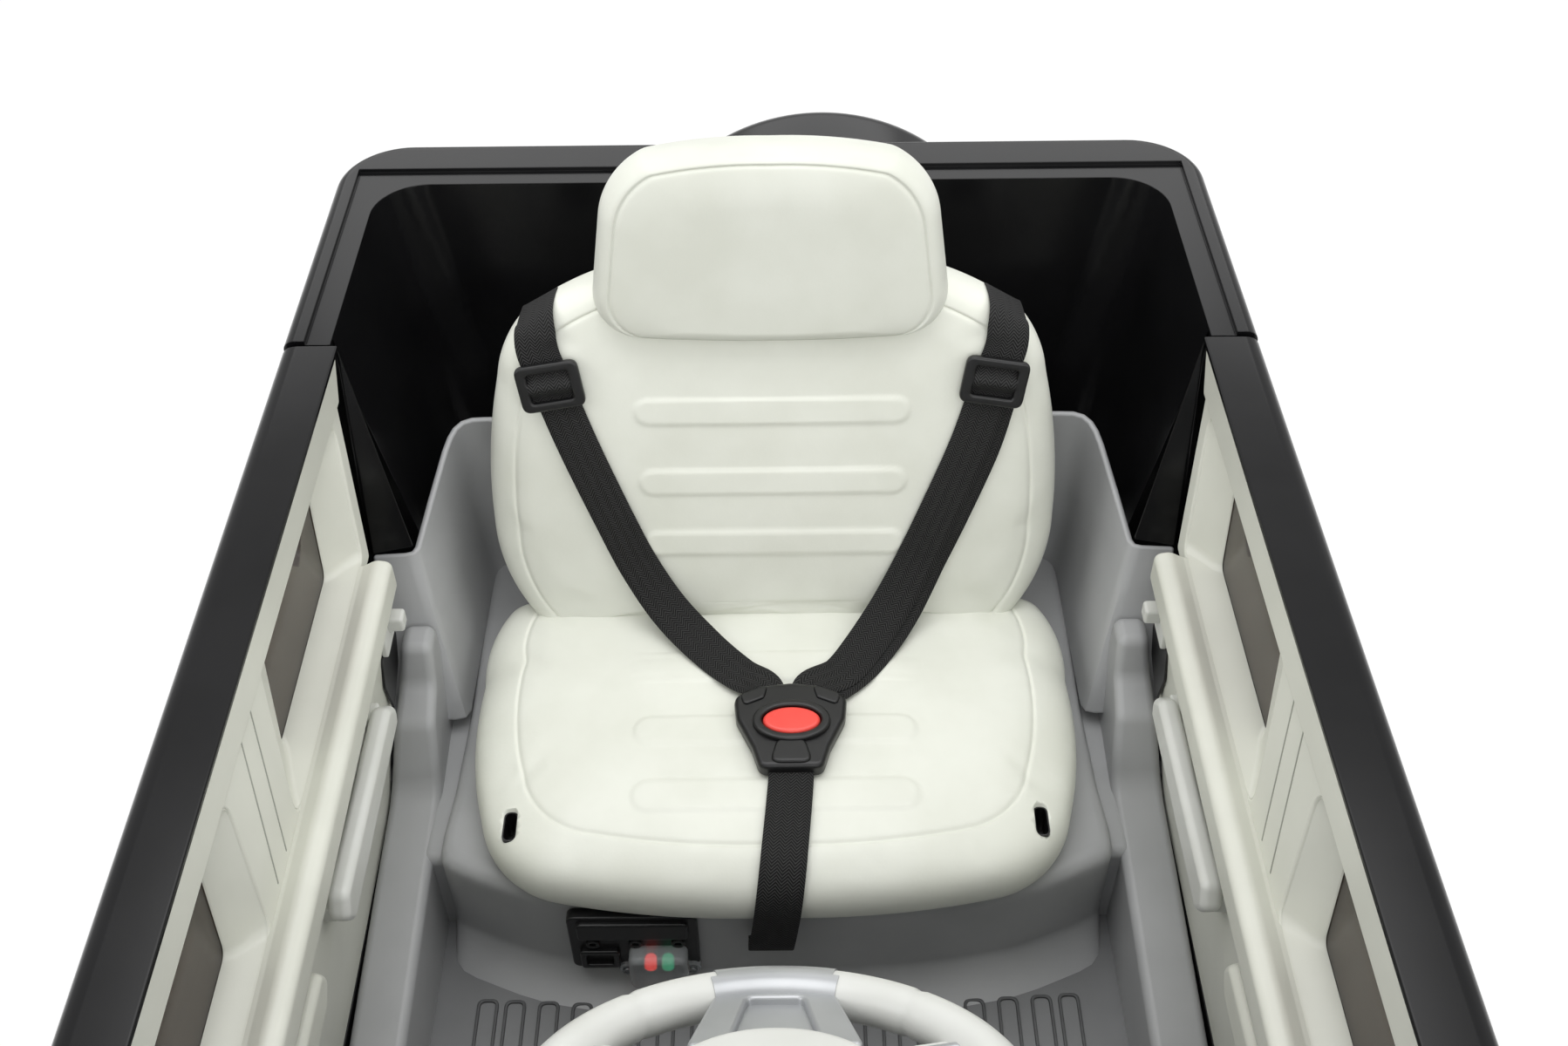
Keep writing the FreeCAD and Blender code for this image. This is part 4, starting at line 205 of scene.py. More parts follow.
# %% [markdown]
# ## Webbing
# Harness webbing is woven in a herringbone: slanting ribs that turn back every few millimetres.
# The strap's UV map runs across and along it in strap widths, so the ribs follow every bend. Real
# ribs are 1.3 mm apart; they are drawn at 2.1 mm, which is the finest that the picture shows.

# %% Webbing
STRAP_WIDTH = 27
RIB_PITCH = 2.1
TURNS_BACK, SLANT = 0.125, 1.1


def maths(material, operation, *values):
    """One step of arithmetic on patterns and numbers."""
    return add_node(material, "ShaderNodeMath", enumerate(values), operation=operation).outputs[0]


webbing, web_shader = new_material("black_polyester_webbing", Roughness=0.7, Specular_IOR_Level=0.3)
web_uv = add_node(webbing, "ShaderNodeUVMap").outputs[0]
web_axes = add_node(webbing, "ShaderNodeSeparateXYZ", {0: web_uv}).outputs
fold = maths(webbing, "PINGPONG", web_axes[0], TURNS_BACK)
slope = maths(webbing, "MULTIPLY_ADD", fold, SLANT, web_axes[1])
phase = maths(webbing, "MULTIPLY", slope, 2 * math.pi * STRAP_WIDTH / RIB_PITCH)
rib = maths(webbing, "SINE", phase)
rib_height = add_node(webbing, "ShaderNodeMapRange", {0: rib, 1: -1.0, 2: 1.0}).outputs[0]
# The colour ramp makes the rib crests lighter and the hollows darker: painted highlight and painted
# shade on the weave.
feed(webbing, web_shader, Normal=bump(webbing, rib_height, 0.7, 0.5),
     Base_Color=shades(webbing, rib_height, "#050505", "#383838", 0.3, 1.0))
print("webbing ready")

# %% [markdown]
# ## Clear plastics and metal
# The door panes are brown smoked acrylic. The lamp covers and the indicator cap are clear
# polycarbonate, the cap slightly frosted. Steel rods are zinc plated, with a mottled dull shine.

# %% Clear plastics and metal


def clear(name, low, high, rough, through):
    """See-through plastic with a faint unevenness in its colour."""
    material, shader = new_material(name, Roughness=rough, IOR=1.3, Transmission_Weight=through)
    feed(material, shader, Base_Color=shades(material, noise(material, 22.0), low, high))
    return material


smoked = clear("smoked_brown_acrylic", "#7f6f65", "#8e7e74", 0.06, 0.9)
clear_cap = clear("frosted_clear_polycarbonate", "#d4d8da", "#e0e4e6", 0.2, 0.62)
lamp_clear = clear("clear_polycarbonate", "#e6eaec", "#f2f5f6", 0.05, 0.9)
lens_red = clear("red_clear_acrylic", "#a8100e", "#c01a16", 0.12, 0.35)
zinc = moulded("zinc_plated_steel", "#8d9092", "#a2a5a7", 0.34, 6, 0.03, Metallic=1.0)
mirror_silver = moulded("mirror_foil", "#c9ccce", "#d4d7d9", 0.06, 40, 0.01, Metallic=1.0)


def lit(name, code, strength):
    """The coloured body of a small lamp, which glows a little."""
    material, shader = new_material(name, Roughness=0.3, Emission_Strength=strength)
    colour = shades(material, noise(material, 300.0), code, code)
    feed(material, shader, Base_Color=colour, Emission_Color=colour)
    return material


red_led = lit("red_indicator", "#ff3a30", 0.8)
green_led = lit("green_indicator", "#1fb07a", 0.6)
print("clear plastics and metal ready")

# %% [markdown]
# ## Helpers for shapes
# Most pieces start as a primitive or a flat outline, get their edges rounded, and then ride on a
# body of the car. These few functions hold the steps that every piece shares.

# %% Shape helpers


def deselect():
    """Leaves edit mode, and leaves nothing selected."""
    if bpy.context.object and bpy.context.object.mode != "OBJECT":
        bpy.ops.object.mode_set(mode="OBJECT")
    bpy.ops.object.select_all(action="DESELECT")


def activate(piece):
    """Makes a piece the active one and the only one selected."""
    deselect()
    piece.select_set(True)
    bpy.context.view_layer.objects.active = piece
    return piece


def made(name):
    """Names the object that an operator just added, and puts its place into its mesh."""
    piece = bpy.context.object
    piece.name = piece.data.name = name
    bpy.ops.object.transform_apply(location=True, rotation=True, scale=True)
    return piece


def apply_all(piece):
    """Applies a piece's modifiers in their order."""
    activate(piece)
    for modifier in list(piece.modifiers):
        bpy.ops.object.modifier_apply(modifier=modifier.name)


def soften(piece, width, steps=3, angle=35):
    """Rounds every edge sharper than an angle, as a mould's radius does."""
    bevel = piece.modifiers.new("edges", "BEVEL")
    bevel.width = width * MM
    bevel.segments = steps
    bevel.limit_method = "ANGLE"
    bevel.angle_limit = math.radians(angle)
    apply_all(piece)
    return piece


def smooth(piece, angle, even):
    """Smooth shading up to an angle. Even keeps wide flat faces flat beside their rounded edges."""
    activate(piece)
    bpy.ops.object.shade_smooth_by_angle(angle=math.radians(angle))
    if even:
        piece.modifiers.new("even", "WEIGHTED_NORMAL").keep_sharp = True
        apply_all(piece)


def fit_out(piece, body, slot, material, *replaced, soft=False):
    """Gives a finished piece its shading and material, and lets it ride on a body. The slot is not
    used.
    """
    smooth(piece, 60 if soft else 35, not soft)
    piece.data.materials.clear()
    piece.data.materials.append(material)
    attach(piece, body)
    if replaced:
        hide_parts(*replaced)
    return piece


def block(name, low, high, edge, steps=3):
    """A box between two corners in millimetres, with rounded edges."""
    deselect()
    middle = [(a + b) / 2 * MM for a, b in zip(low, high)]
    size = [(b - a) * MM for a, b in zip(low, high)]
    bpy.ops.mesh.primitive_cube_add(size=1, location=middle, scale=size)
    return soften(made(name), edge, steps)


def rounded(corners, radii, steps=6):
    """A closed outline whose corners are turned into arcs of given radii."""
    if not hasattr(radii, "__len__"):
        radii = [radii] * len(corners)
    points = []
    for i, (corner, radius) in enumerate(zip(corners, radii)):
        here = Vector(corner)
        before = Vector(corners[i - 1]) - here
        after = Vector(corners[(i + 1) % len(corners)]) - here
        half = before.angle(after) / 2
        reach = min(radius / math.tan(half), before.length * 0.49, after.length * 0.49)
        a = here + before.normalized() * reach
        b = here + after.normalized() * reach
        for step in range(steps + 1):
            t = step / steps
            points.append(tuple(a * (1 - t) ** 2 + here * 2 * t * (1 - t) + b * t ** 2))
    return points


def box_outline(low, high, radius):
    """A rectangle between two corners, with rounded corners."""
    return rounded([low, (high[0], low[1]), high, (low[0], high[1])], radius)


def ellipse(x, y, wide, tall, steps):
    """An ellipse about a point, as an outline."""
    turns = [2 * math.pi * k / steps for k in range(steps)]
    return [(x + wide * math.cos(t), y + tall * math.sin(t)) for t in turns]


TO_SIDE = Matrix(((0, 0, 1, 0), (1, 0, 0, 0), (0, 1, 0, 0), (0, 0, 0, 1)))
TO_FRONT = Matrix(((1, 0, 0, 0), (0, 0, -1, 0), (0, 1, 0, 0), (0, 0, 0, 1)))
FLAT = Matrix.Identity(4)


def plate(name, outline, holes, low, high, edge, turn=FLAT, steps=3):
    """A plate drawn as a flat filled curve with holes. The turn lays its thickness along a world
    axis, between low and high: FLAT along Z, TO_SIDE along X, TO_FRONT along -Y."""
    deselect()
    curve = bpy.data.curves.new(name, "CURVE")
    curve.dimensions = "2D"
    curve.fill_mode = "BOTH"
    for loop in [outline, *holes]:
        spline = curve.splines.new("POLY")
        spline.points.add(len(loop) - 1)
        for point, (a, b) in zip(spline.points, loop):
            point.co = (a * MM, b * MM, 0, 1)
        spline.use_cyclic_u = True
    curve.extrude = ((high - low) / 2 - edge) * MM
    curve.bevel_depth = edge * MM
    curve.bevel_resolution = steps
    curve.offset = -edge * MM
    activate(into_scene(bpy.data.objects.new(name, curve)))
    bpy.ops.object.convert(target="MESH")
    bpy.ops.object.mode_set(mode="EDIT")
    bpy.ops.mesh.select_all(action="SELECT")
    bpy.ops.mesh.remove_doubles(threshold=1e-6)
    bpy.ops.mesh.normals_make_consistent(inside=False)
    bpy.ops.object.mode_set(mode="OBJECT")
    piece = bpy.context.object
    piece.data.transform(turn @ Matrix.Translation((0, 0, (low + high) / 2 * MM)))
    return piece


def join(name, *pieces):
    """One object from several, which keeps the first one's place in the scene."""
    activate(pieces[0])
    for piece in pieces[1:]:
        piece.select_set(True)
    bpy.ops.object.join()
    pieces[0].name = pieces[0].data.name = name
    return pieces[0]


def twin(piece, name):
    """A copy of a piece with a mesh of its own."""
    copy = into_scene(piece.copy())
    copy.data = piece.data.copy()
    copy.name = copy.data.name = name
    return copy


def other_side(piece, name):
    """The same piece on the other side of the car, with its own mesh turned right side out."""
    copy = twin(piece, name)
    copy.data.transform(Matrix.Scale(-1, 4, (1, 0, 0)))
    copy.data.flip_normals()
    return copy


def pair(piece, body, slot, material, *replaced):
    """Fits out a left piece and its mirror image, in whose names left becomes right."""
    mirrored = other_side(piece, piece.name.replace("left", "right"))
    fit_out(piece, body, slot, material, *replaced)
    fit_out(mirrored, body.replace("left", "right"), slot, material,
            *[node.replace("left", "right") for node in replaced])


def put(piece, place):
    """Moves a piece's mesh by a matrix whose lengths are in millimetres."""
    piece.data.transform(Matrix.Scale(MM, 4) @ place @ Matrix.Scale(1 / MM, 4))


def cut(piece, cutter, solver):
    """Takes a shape out of a piece, and removes the shape."""
    hole = piece.modifiers.new("hole", "BOOLEAN")
    hole.object = cutter
    hole.solver = solver
    apply_all(piece)
    bpy.data.objects.remove(cutter)


def thicken(piece, wall_mm, offset=0):
    """Gives an open sheet a wall, on both its sides unless an offset says otherwise."""
    wall = piece.modifiers.new("wall", "SOLIDIFY")
    wall.thickness = wall_mm * MM
    wall.offset = offset
    return wall


def quads(rows, count, closed=True, round_again=False):
    """Faces between rows of points. Each row is a closed ring or an open line, and the last row
    can meet the first one again."""
    faces = []
    for row in range(rows if round_again else rows - 1):
        low, high = row * count, (row + 1) % rows * count
        faces += [(low + i, low + (i + 1) % count, high + (i + 1) % count, high + i)
                  for i in range(count if closed else count - 1)]
    return faces


def solid_mesh(name, points, faces):
    """A piece from points in millimetres, for forms that no primitive gives."""
    mesh = bpy.data.meshes.new(name)
    mesh.from_pydata([tuple(c * MM for c in p) for p in points], [], faces)
    piece = activate(into_scene(bpy.data.objects.new(name, mesh)))
    bpy.ops.object.mode_set(mode="EDIT")
    bpy.ops.mesh.select_all(action="SELECT")
    bpy.ops.mesh.normals_make_consistent(inside=False)
    bpy.ops.object.mode_set(mode="OBJECT")
    return piece


def from_node(node, name, width, steps=2, angle=30):
    """A copy of a CAD node, merged into clean faces and with its edges rounded."""
    piece = twin(nodes[node], name)
    for key in list(piece.keys()):
        del piece[key]
    piece.parent = None
    activate(piece)
    bpy.ops.object.mode_set(mode="EDIT")
    bpy.ops.mesh.select_all(action="SELECT")
    bpy.ops.mesh.remove_doubles(threshold=1e-5)
    bpy.ops.mesh.customdata_custom_splitnormals_clear()
    bpy.ops.mesh.dissolve_limited(angle_limit=math.radians(1))
    bpy.ops.object.mode_set(mode="OBJECT")
    return soften(piece, width, steps, angle)


print("helpers ready")

# %% [markdown]
# ## Seat pads
# The real pads are moulded foam wrapped in leatherette, with one seam running round each face.
# A pad could be a bevelled block, but then its sides stay flat. Here each is drawn as rings, from
# the flat underside up over the roll to the crown, so that seams and bars follow its outline. A
# short cloth simulation then lets the covers of the cushion and the back pad swell a little.

# %% Pad helpers
BACK = (Matrix.Translation((0, 255, 265)) @ Matrix.Rotation(math.radians(74), 4, "X")
        @ Matrix.Translation((0, 0, -46)))
SEAT = Matrix.Translation((0, 40, 218))
SWELL_FRAMES, SWELL_CAP = 14, 1.5
HELD_BELOW = 12
SEAM_DEPTH = 1.8
BAR_EDGE = 2.4
COVER = {"quality": 6, "mass": 0.3, "tension_stiffness": 20, "compression_stiffness": 20,
         "bending_stiffness": 2, "use_pressure": True, "uniform_pressure_force": 2.5,
         "vertex_group_mass": "held"}


def arc_through(a, b, c, steps=16):
    """Points on the circle through three points."""
    (ax, ay), (bx, by), (cx, cy) = a, b, c
    d = 2 * (ax * (by - cy) + bx * (cy - ay) + cx * (ay - by))
    aa, bb, cc = ax * ax + ay * ay, bx * bx + by * by, cx * cx + cy * cy
    ux = (aa * (by - cy) + bb * (cy - ay) + cc * (ay - by)) / d
    uy = (aa * (cx - bx) + bb * (ax - cx) + cc * (bx - ax)) / d
    turns = [math.atan2(y - uy, x - ux) for x, y in (a, b, c)]
    for i in (1, 2):
        while turns[i] - turns[i - 1] > math.pi:
            turns[i] -= 2 * math.pi
        while turns[i] - turns[i - 1] < -math.pi:
            turns[i] += 2 * math.pi
    radius = math.hypot(ax - ux, ay - uy)
    sweep = [turns[0] + (turns[2] - turns[0]) * k / steps for k in range(steps + 1)]
    return [(ux + radius * math.cos(t), uy + radius * math.sin(t)) for t in sweep]


def evenly(loop, count):
    """A closed loop as evenly spaced points, starting from its first."""
    ends = loop[1:] + loop[:1]
    lengths = [math.dist(a, b) for a, b in zip(loop, ends)]
    step = sum(lengths) / count
    points, run, i = [], 0.0, 0
    for k in range(count):
        while run + lengths[i] < k * step:
            run += lengths[i]
            i += 1
        t = (k * step - run) / lengths[i]
        points.append(tuple(p + (q - p) * t for p, q in zip(loop[i], ends[i])))
    return points


def pad_shares(half, length, arcs, count=200):
    """A pad's outline as shares of its half width and length, from the middle of its last edge."""
    side = []
    for arc in arcs:
        side += arc_through(*arc)
    if side[0][1] < side[-1][1]:
        side.reverse()
    loop = [(0, side[0][1]), *side, (0, side[-1][1]), *[(-x, y) for x, y in reversed(side)]]
    return [(x / half, y / length) for x, y in evenly(loop, count)]


def swell(piece, pinned):
    """Lets a pad's cover swell as cloth under pressure, no further than a cap in millimetres."""
    group = piece.vertex_groups.new(name="held")
    group.add(pinned, 1.0, "REPLACE")
    cloth = piece.modifiers.new("cover", "CLOTH")
    for setting, value in COVER.items():
        setattr(cloth.settings, setting, value)
    cloth.settings.effector_weights.gravity = 0
    cloth.collision_settings.use_collision = False
    for number in range(1, SWELL_FRAMES + 1):
        bpy.context.scene.frame_set(number)
    graph = bpy.context.evaluated_depsgraph_get()
    swollen = piece.evaluated_get(graph).to_mesh()
    moves = [after.co - before.co for after, before in zip(swollen.vertices, piece.data.vertices)]
    piece.modifiers.remove(cloth)
    piece.vertex_groups.remove(group)
    for point, move in zip(piece.data.vertices, moves):
        point.co += move * min(1, SWELL_CAP * MM / max(move.length, 1e-9))
    bpy.context.scene.frame_set(1)
    print(piece.name, "swelled up to", round(max(m.length for m in moves) / MM, 1),
          "mm before the cap")


def pad(name, half, length, arcs, profile, seam, ends, bars, rise, place, node, cover=leatherette):
    """A pad from rings of (inset, height). The ring at the seam's inset is sewn down, and raised
    bars with round ends lie across the crown. Ends are the shares of an inset at both ends. A pad
    without bars is stuffed tight and does not swell."""
    shares = pad_shares(half, length, arcs)
    count = len(shares)
    points = []
    for inset, height in profile:
        points += [(x * (half - inset), ends[0] * inset + y * (length - sum(ends) * inset),
                    height) for x, y in shares]
    faces = [tuple(range(count)), *quads(len(profile), count)]
    last = (len(profile) - 1) * count
    faces += [(last + i, last + count - i, last + count - i - 1, last + i + 1)
              for i in range(1, count // 2 - 1)]
    faces += [(last, last + count - 1, last + 1),
              (last + count // 2 - 1, last + count // 2 + 1, last + count // 2)]
    piece = solid_mesh(name, points, faces)
    if bars:
        swell(piece, [i for i, p in enumerate(points) if p[2] < HELD_BELOW])
    sewn = [inset for inset, _ in profile].index(seam) * count
    for point in piece.data.vertices[sewn:sewn + count]:
        point.co.z -= SEAM_DEPTH * MM
    finer = piece.modifiers.new("finer", "SUBSURF")
    finer.levels = finer.render_levels = 1
    apply_all(piece)
    crown = profile[-1][1] * 0.8 * MM
    for point in piece.data.vertices:
        for centre, reach, radius in bars if point.co.z > crown else []:
            away = math.hypot(max(abs(point.co.x) / MM - reach + radius, 0),
                              point.co.y / MM - centre)
            share = min(1, max(0, (radius + BAR_EDGE / 2 - away) / BAR_EDGE))
            point.co.z += rise * share * share * (3 - 2 * share) * MM
    put(piece, place)
    fit_out(piece, "car_body", "cream_leatherette", cover, node, soft=True)
    print(name, len(piece.data.polygons), "faces")
    return piece


def rising(seam, profile, inner, top, step=3.2):
    """The profile up to the seam, then the crown behind it, flattening towards the middle."""
    start = profile[-1][1]
    rings = [(seam - 1.3, start + 0.3), (seam, start + 0.5), (seam + 1.3, start + 0.8)]
    count = int((inner - seam - 4) / step)
    for k in range(count + 1):
        t = k / count
        rings.append((seam + 4 + (inner - seam - 4) * t,
                      start + 1.4 + (top - start - 1.4) * (1 - (1 - t) ** 2)))
    return profile + rings


# %% [markdown]
# The cushion is widest in the middle and narrows to its corners. Two long slots in the front
# corners give a screwdriver room to reach the screws that hold it down.

# %% Cushion
SCREW_X, SCREW_Y = 165.5, 90
cushion_rolls = [(7, 0), (3, 3), (1, 8), (0, 15), (0, 21), (0.9, 26.5), (3, 32), (6.5, 36.6),
                 (11.5, 40), (17, 42.2), (22.5, 43.4), (26, 43.9)]
cushion = pad("seat_cushion_pad", 197.5, 236,
              [[(187, 236), (196.5, 214), (197.5, 172)], [(197.5, 172), (197, 105), (187.7, 64)],
               [(187.7, 64), (173, 33), (142, 13)], [(142, 13), (74, 2.4), (2, 0)]],
              rising(28.5, cushion_rolls, 105, 49), 28.5, (1.03, 0.12),
              [(63.5, 90, 11), (113, 91, 11), (166, 92, 12)], 1.2, SEAT, "seat_cushion")
for side, x in (("right", -SCREW_X), ("left", SCREW_X)):
    cut(cushion, plate("screw_slot", box_outline((x - 4.6, 78.5), (x + 4.6, 100), 4.4), [], 230,
                       275, 0.2), "FAST")
    sleeve = plate("screw_sleeve_" + side, box_outline((x - 4.5, 78.6), (x + 4.5, 99.9), 4.4),
                   [box_outline((x - 3.6, 79.5), (x + 3.6, 99), 3.5)], 231, 256, 0.2)
    fit_out(sleeve, "car_body", "black_satin", trim_black)

# %% [markdown]
# The back pad has three raised bars with round ends. The head pad sits against its top edge, and
# its seam runs down both sides to the lower edge.

# %% Back and head pads
back_rolls = [(5, 0), (2, 4), (0.5, 10), (0, 18), (0, 27), (0.8, 33), (2.8, 38), (6.2, 42),
              (10.5, 44.6), (15.5, 45.7)]
pad("seat_back_pad", 189.8, 266,
    [[(164, 3), (183, 38), (189.5, 82)], [(189.5, 82), (187, 137), (177, 187)],
     [(177, 187), (168.5, 214), (155, 229)], [(155, 229), (130, 243.5), (100, 255)],
     [(100, 255), (50, 264), (2, 266)]],
    rising(18.5, back_rolls, 119, 50.5), 18.5, (0.2, 0.6),
    [(73, 86, 9), (119, 87, 9), (170, 88, 9)], 1.4, BACK @ Matrix.Translation((0, -12, 0)),
    "seat_back")
head_rolls = [(20, 0), (13, 3), (8, 8), (4.5, 15), (2, 23), (0.6, 31), (0, 38), (0.5, 44),
              (1.8, 50), (4, 55.5), (7, 59.5), (10, 61.2)]
# The head pad's darker cover is painted shade.
pad("headrest_pad", 111, 120,
    [[(2, 0), (50, 0.8), (88, 2.8)], [(88, 2.8), (103.5, 9.5), (110.6, 31)],
     [(104, 80), (96, 98.5), (78, 113.5)], [(78, 113.5), (40, 118.8), (2, 120)]],
    rising(12.5, head_rolls, 52, 65.5), 12.5, (0.15, 0.65), [], 0,
    BACK @ Matrix.Translation((0, 209, 0)), "headrest", head_leatherette_painted_shade)

# %% [markdown]
# ## Harness
# A three-point harness: two shoulder straps come over the back pad, pass through sliding
# adjusters and meet the crotch strap at one buckle. Webbing is a flat band that bends one way
# only, so each strap is a ribbon along points, each with the direction that its face looks.

# %% Straps


def ribbon(name, path, width=STRAP_WIDTH, thick=1.6, steps=8):
    """A strap through (point, facing) pairs, with a UV map in strap widths."""
    spots = [Vector(p) for p, _ in path]
    looks = [Vector(n).normalized() for _, n in path]
    samples = []
    for i in range(len(path) - 1):
        p0, p1, p2, p3 = (spots[max(0, min(len(spots) - 1, i + k))] for k in (-1, 0, 1, 2))
        for step in range(steps + (i == len(path) - 2)):
            t = step / steps
            spot = 0.5 * (2 * p1 + (p2 - p0) * t + (2 * p0 - 5 * p1 + 4 * p2 - p3) * t ** 2
                          + (3 * p1 - p0 - 3 * p2 + p3) * t ** 3)
            samples.append((spot, looks[i].lerp(looks[i + 1], t)))
    shares = [-1, -0.94, -0.6, 0, 0.6, 0.94, 1]
    points, across_along, length = [], [], 0.0
    for i, (spot, look) in enumerate(samples):
        ahead = samples[min(i + 1, len(samples) - 1)][0] - samples[max(i - 1, 0)][0]
        across = look.cross(ahead).normalized()
        out = ahead.cross(across).normalized()
        if i:
            length += (spot - samples[i - 1][0]).length
        for level in (1, -1):
            for share in shares if level > 0 else reversed(shares):
                lift = thick / 2 * (0.45 if abs(share) == 1 else 1) * level
                points.append(spot + across * share * width / 2 + out * lift)
                across_along.append(((share + 1) / 2, length / STRAP_WIDTH))
    ring = 2 * len(shares)
    last = len(points) - ring
    faces = [tuple(range(ring)), tuple(range(last + ring - 1, last - 1, -1))]
    faces += quads(len(samples), ring)
    piece = solid_mesh(name, points, faces)
    layer = piece.data.uv_layers.new(name="along")
    for loop in piece.data.loops:
        layer.data[loop.index].uv = across_along[loop.vertex_index]
    return piece


def on_back(x, up, out, look=(0, 0, 1)):
    """A point and a facing direction of the back pad's frame, in the car's frame."""
    return BACK @ Vector((x, up, out)), BACK.to_3x3() @ Vector(look)


def shoulder_strap(name, side, marks):
    """Over the shoulder, down the pad and across the gap to the buckle, through given X places."""
    top, adjuster, chest, waist, low, bridge, landing, entry = marks
    hug = (0.5 * side, 0.86, 0)
    return ribbon(name, [
        on_back(top, 165, -2.5, (0, 0, -1)), on_back(top, 206, -3, (0.1 * side, 0.3, -1)),
        on_back(top, 219.5, 8, (hug[0], hug[1], -0.5)), on_back(top, 222, 24, hug),
        on_back(top, 219.5, 41, (0.5 * side, 0.8, 0.5)),
        on_back(top * 0.998, 212, 48.6, (0.2 * side, 0.5, 1)),
        on_back(top * 0.99, 199, 50.6), on_back(adjuster, 179, 51.6), on_back(chest, 134, 53.6),
        on_back(waist, 81, 55), on_back(low, 45, 56, (0, 0.25, 1)),
        ((bridge, 240, 286), (0, -0.7, 0.8)),
        ((landing + (bridge - landing) * 0.45, 216, 274.4), (0, -0.25, 1)),
        ((landing, 196.5, 272.6), (0, 0, 1)), ((entry, 186, 274.6), (0, 0.1, 1)),
        ((entry - 4 * side, 176, 275), (0, 0, 1))])


straps = [shoulder_strap("shoulder_webbing_left", 1, [149, 141, 128, 108, 93.5, 77, 44, 27]),
          shoulder_strap("shoulder_webbing_right", -1,
                         [-148, -140, -125, -105, -90, -70, -24, -10])]
tail = ribbon("shoulder_webbing_left_tail", [
    on_back(143, 165, 50), on_back(134, 130, 51.8), on_back(117, 84, 53.2), on_back(102, 47, 54.2),
    ((85, 241, 283.6), (0, -0.7, 0.8)), ((67, 217, 272.6), (0, -0.2, 1)),
    ((52, 198, 270.9), (0, 0, 1)), ((36, 183, 272.6), (0, 0, 1)), ((30, 176, 273), (0, 0, 1))])
CROTCH_WIDTH = 28.5
crotch = ribbon("crotch_webbing", [
    ((10.5, 124, 275), (0, 0, 1)), ((9.5, 108, 272.2), (0, -0.2, 1)), ((8, 90, 270.6), (0, 0, 1)),
    ((6.3, 72, 268.6), (0, -0.2, 1)), ((4.4, 54, 263.5), (0, -0.6, 1)),
    ((2.4, 41.4, 252), (0, -1, 0.6)), ((0.6, 36, 237), (0, -1, 0.2)),
    ((-1.6, 35.6, 216), (0, -1, 0)), ((-3.4, 36.4, 200), (0, -1, 0)),
    ((-4, 40.4, 190), (0, -1, -0.6)), ((-4, 48.6, 192), (0, -0.5, -1))], CROTCH_WIDTH)
for strap, *replaced in ((straps[0], "shoulder_straps"), (straps[1],), (tail,),
                         (crotch, "crotch_strap")):
    fit_out(strap, "car_body", "webbing", webbing, *replaced, soft=True)
print("straps made")

# %% [markdown]
# The adjusters are ladder locks: a moulded frame with two slots, and the webbing folded over the
# bar between them.

# %% Adjusters
for name, side, x, replaced in (("left", 1, 141, ["strap_adjusters"]), ("right", -1, -140, [])):
    lock = plate("strap_adjuster_" + name, box_outline((-20.5, -16), (20.5, 16), 6),
                 [box_outline((-13.4, 2.5), (13.4, 10), 2),
                  box_outline((-13.4, -10), (13.4, -2.5), 2)], 0, 5, 1.7)
    lean = Matrix.Rotation(math.radians(-9 * side), 4, "Z")
    seat_of_lock = BACK @ Matrix.Translation((x, 178.5, 53)) @ lean
    put(lock, seat_of_lock)
    wrap = ribbon("adjuster_fold_" + name, [
        (seat_of_lock @ Vector((0, up, out)), seat_of_lock.to_3x3() @ Vector((0, tip, 1)))
        for up, out, tip in ((-11, 0.2, 0), (-6, 1.8, -0.4), (-1.5, 5.4, -0.3), (1.5, 5.4, 0.3),
                             (6, 1.8, 0.4), (11, 0.2, 0))])
    fit_out(wrap, "car_body", "webbing", webbing, soft=True)
    fit_out(lock, "car_body", "black_satin", trim_black, *replaced)

# %% [markdown]
# ## Buckle
# The buckle is a nylon shield. Two ears take the shoulder tongues at its top, a collar stands
# round the red push button, and the crotch strap loops through its foot. It is a flat outline
# with rounded edges, and the collar is a second ring on top of it.

# %% Buckle
shield = rounded([(10, 183), (27, 181), (47, 172), (45, 154), (35, 132), (30, 115), (-10, 115),
                  (-15, 132), (-25, 154), (-27, 172), (-7, 181)],
                 [9, 9, 9, 14, 16, 7, 7, 16, 14, 9, 9])
BUTTON = (10.5, 150)
oval = ellipse(*BUTTON, 19, 11, 36)
buckle = plate("buckle_shield", shield, [oval], 268.4, 280.5, 3.4)
collar = plate("buckle_collar", ellipse(*BUTTON, 25, 16.5, 36), [oval], 276, 284, 1.8)
nose = plate("buckle_nose", rounded([(-4, 117.5), (24, 117.5), (19, 136), (1, 136)], 6), [], 276,
             282.4, 2)
ears = [plate("buckle_ear",
              rounded([(10 + s * 14, 180), (10 + s * 33, 172), (10 + s * 30, 163),
                       (10 + s * 17, 169)], 3.5), [], 277, 282, 1.4)
        for s in (1, -1)]
buckle = join("buckle_shield", buckle, collar, nose, *ears)
fit_out(buckle, "car_body", "black_satin", trim_black, "buckle_body")
button = plate("buckle_push", ellipse(*BUTTON, 18.4, 10.4, 36), [], 272, 283.6, 2.4, steps=5)
fit_out(button, "buckle_button", "red_plastic", red_gloss, "buckle_button")

# %% [markdown]
# ## Screws
# One cross-head screw is modelled, and every screw on the car is a copy with its own mesh.

# %% Screws
deselect()
bpy.ops.mesh.primitive_cylinder_add(vertices=32, radius=4.6 * MM, depth=5 * MM)
screw_model = soften(made("screw_model"), 1.2)
for size in ((6, 1.3, 3), (1.3, 6, 3)):
    cut(screw_model, block("cross", [-c / 2 + (2.4 if i == 2 else 0) for i, c in enumerate(size)],
                           [c / 2 + (2.4 if i == 2 else 0) for i, c in enumerate(size)], 0.1, 1),
        "EXACT")


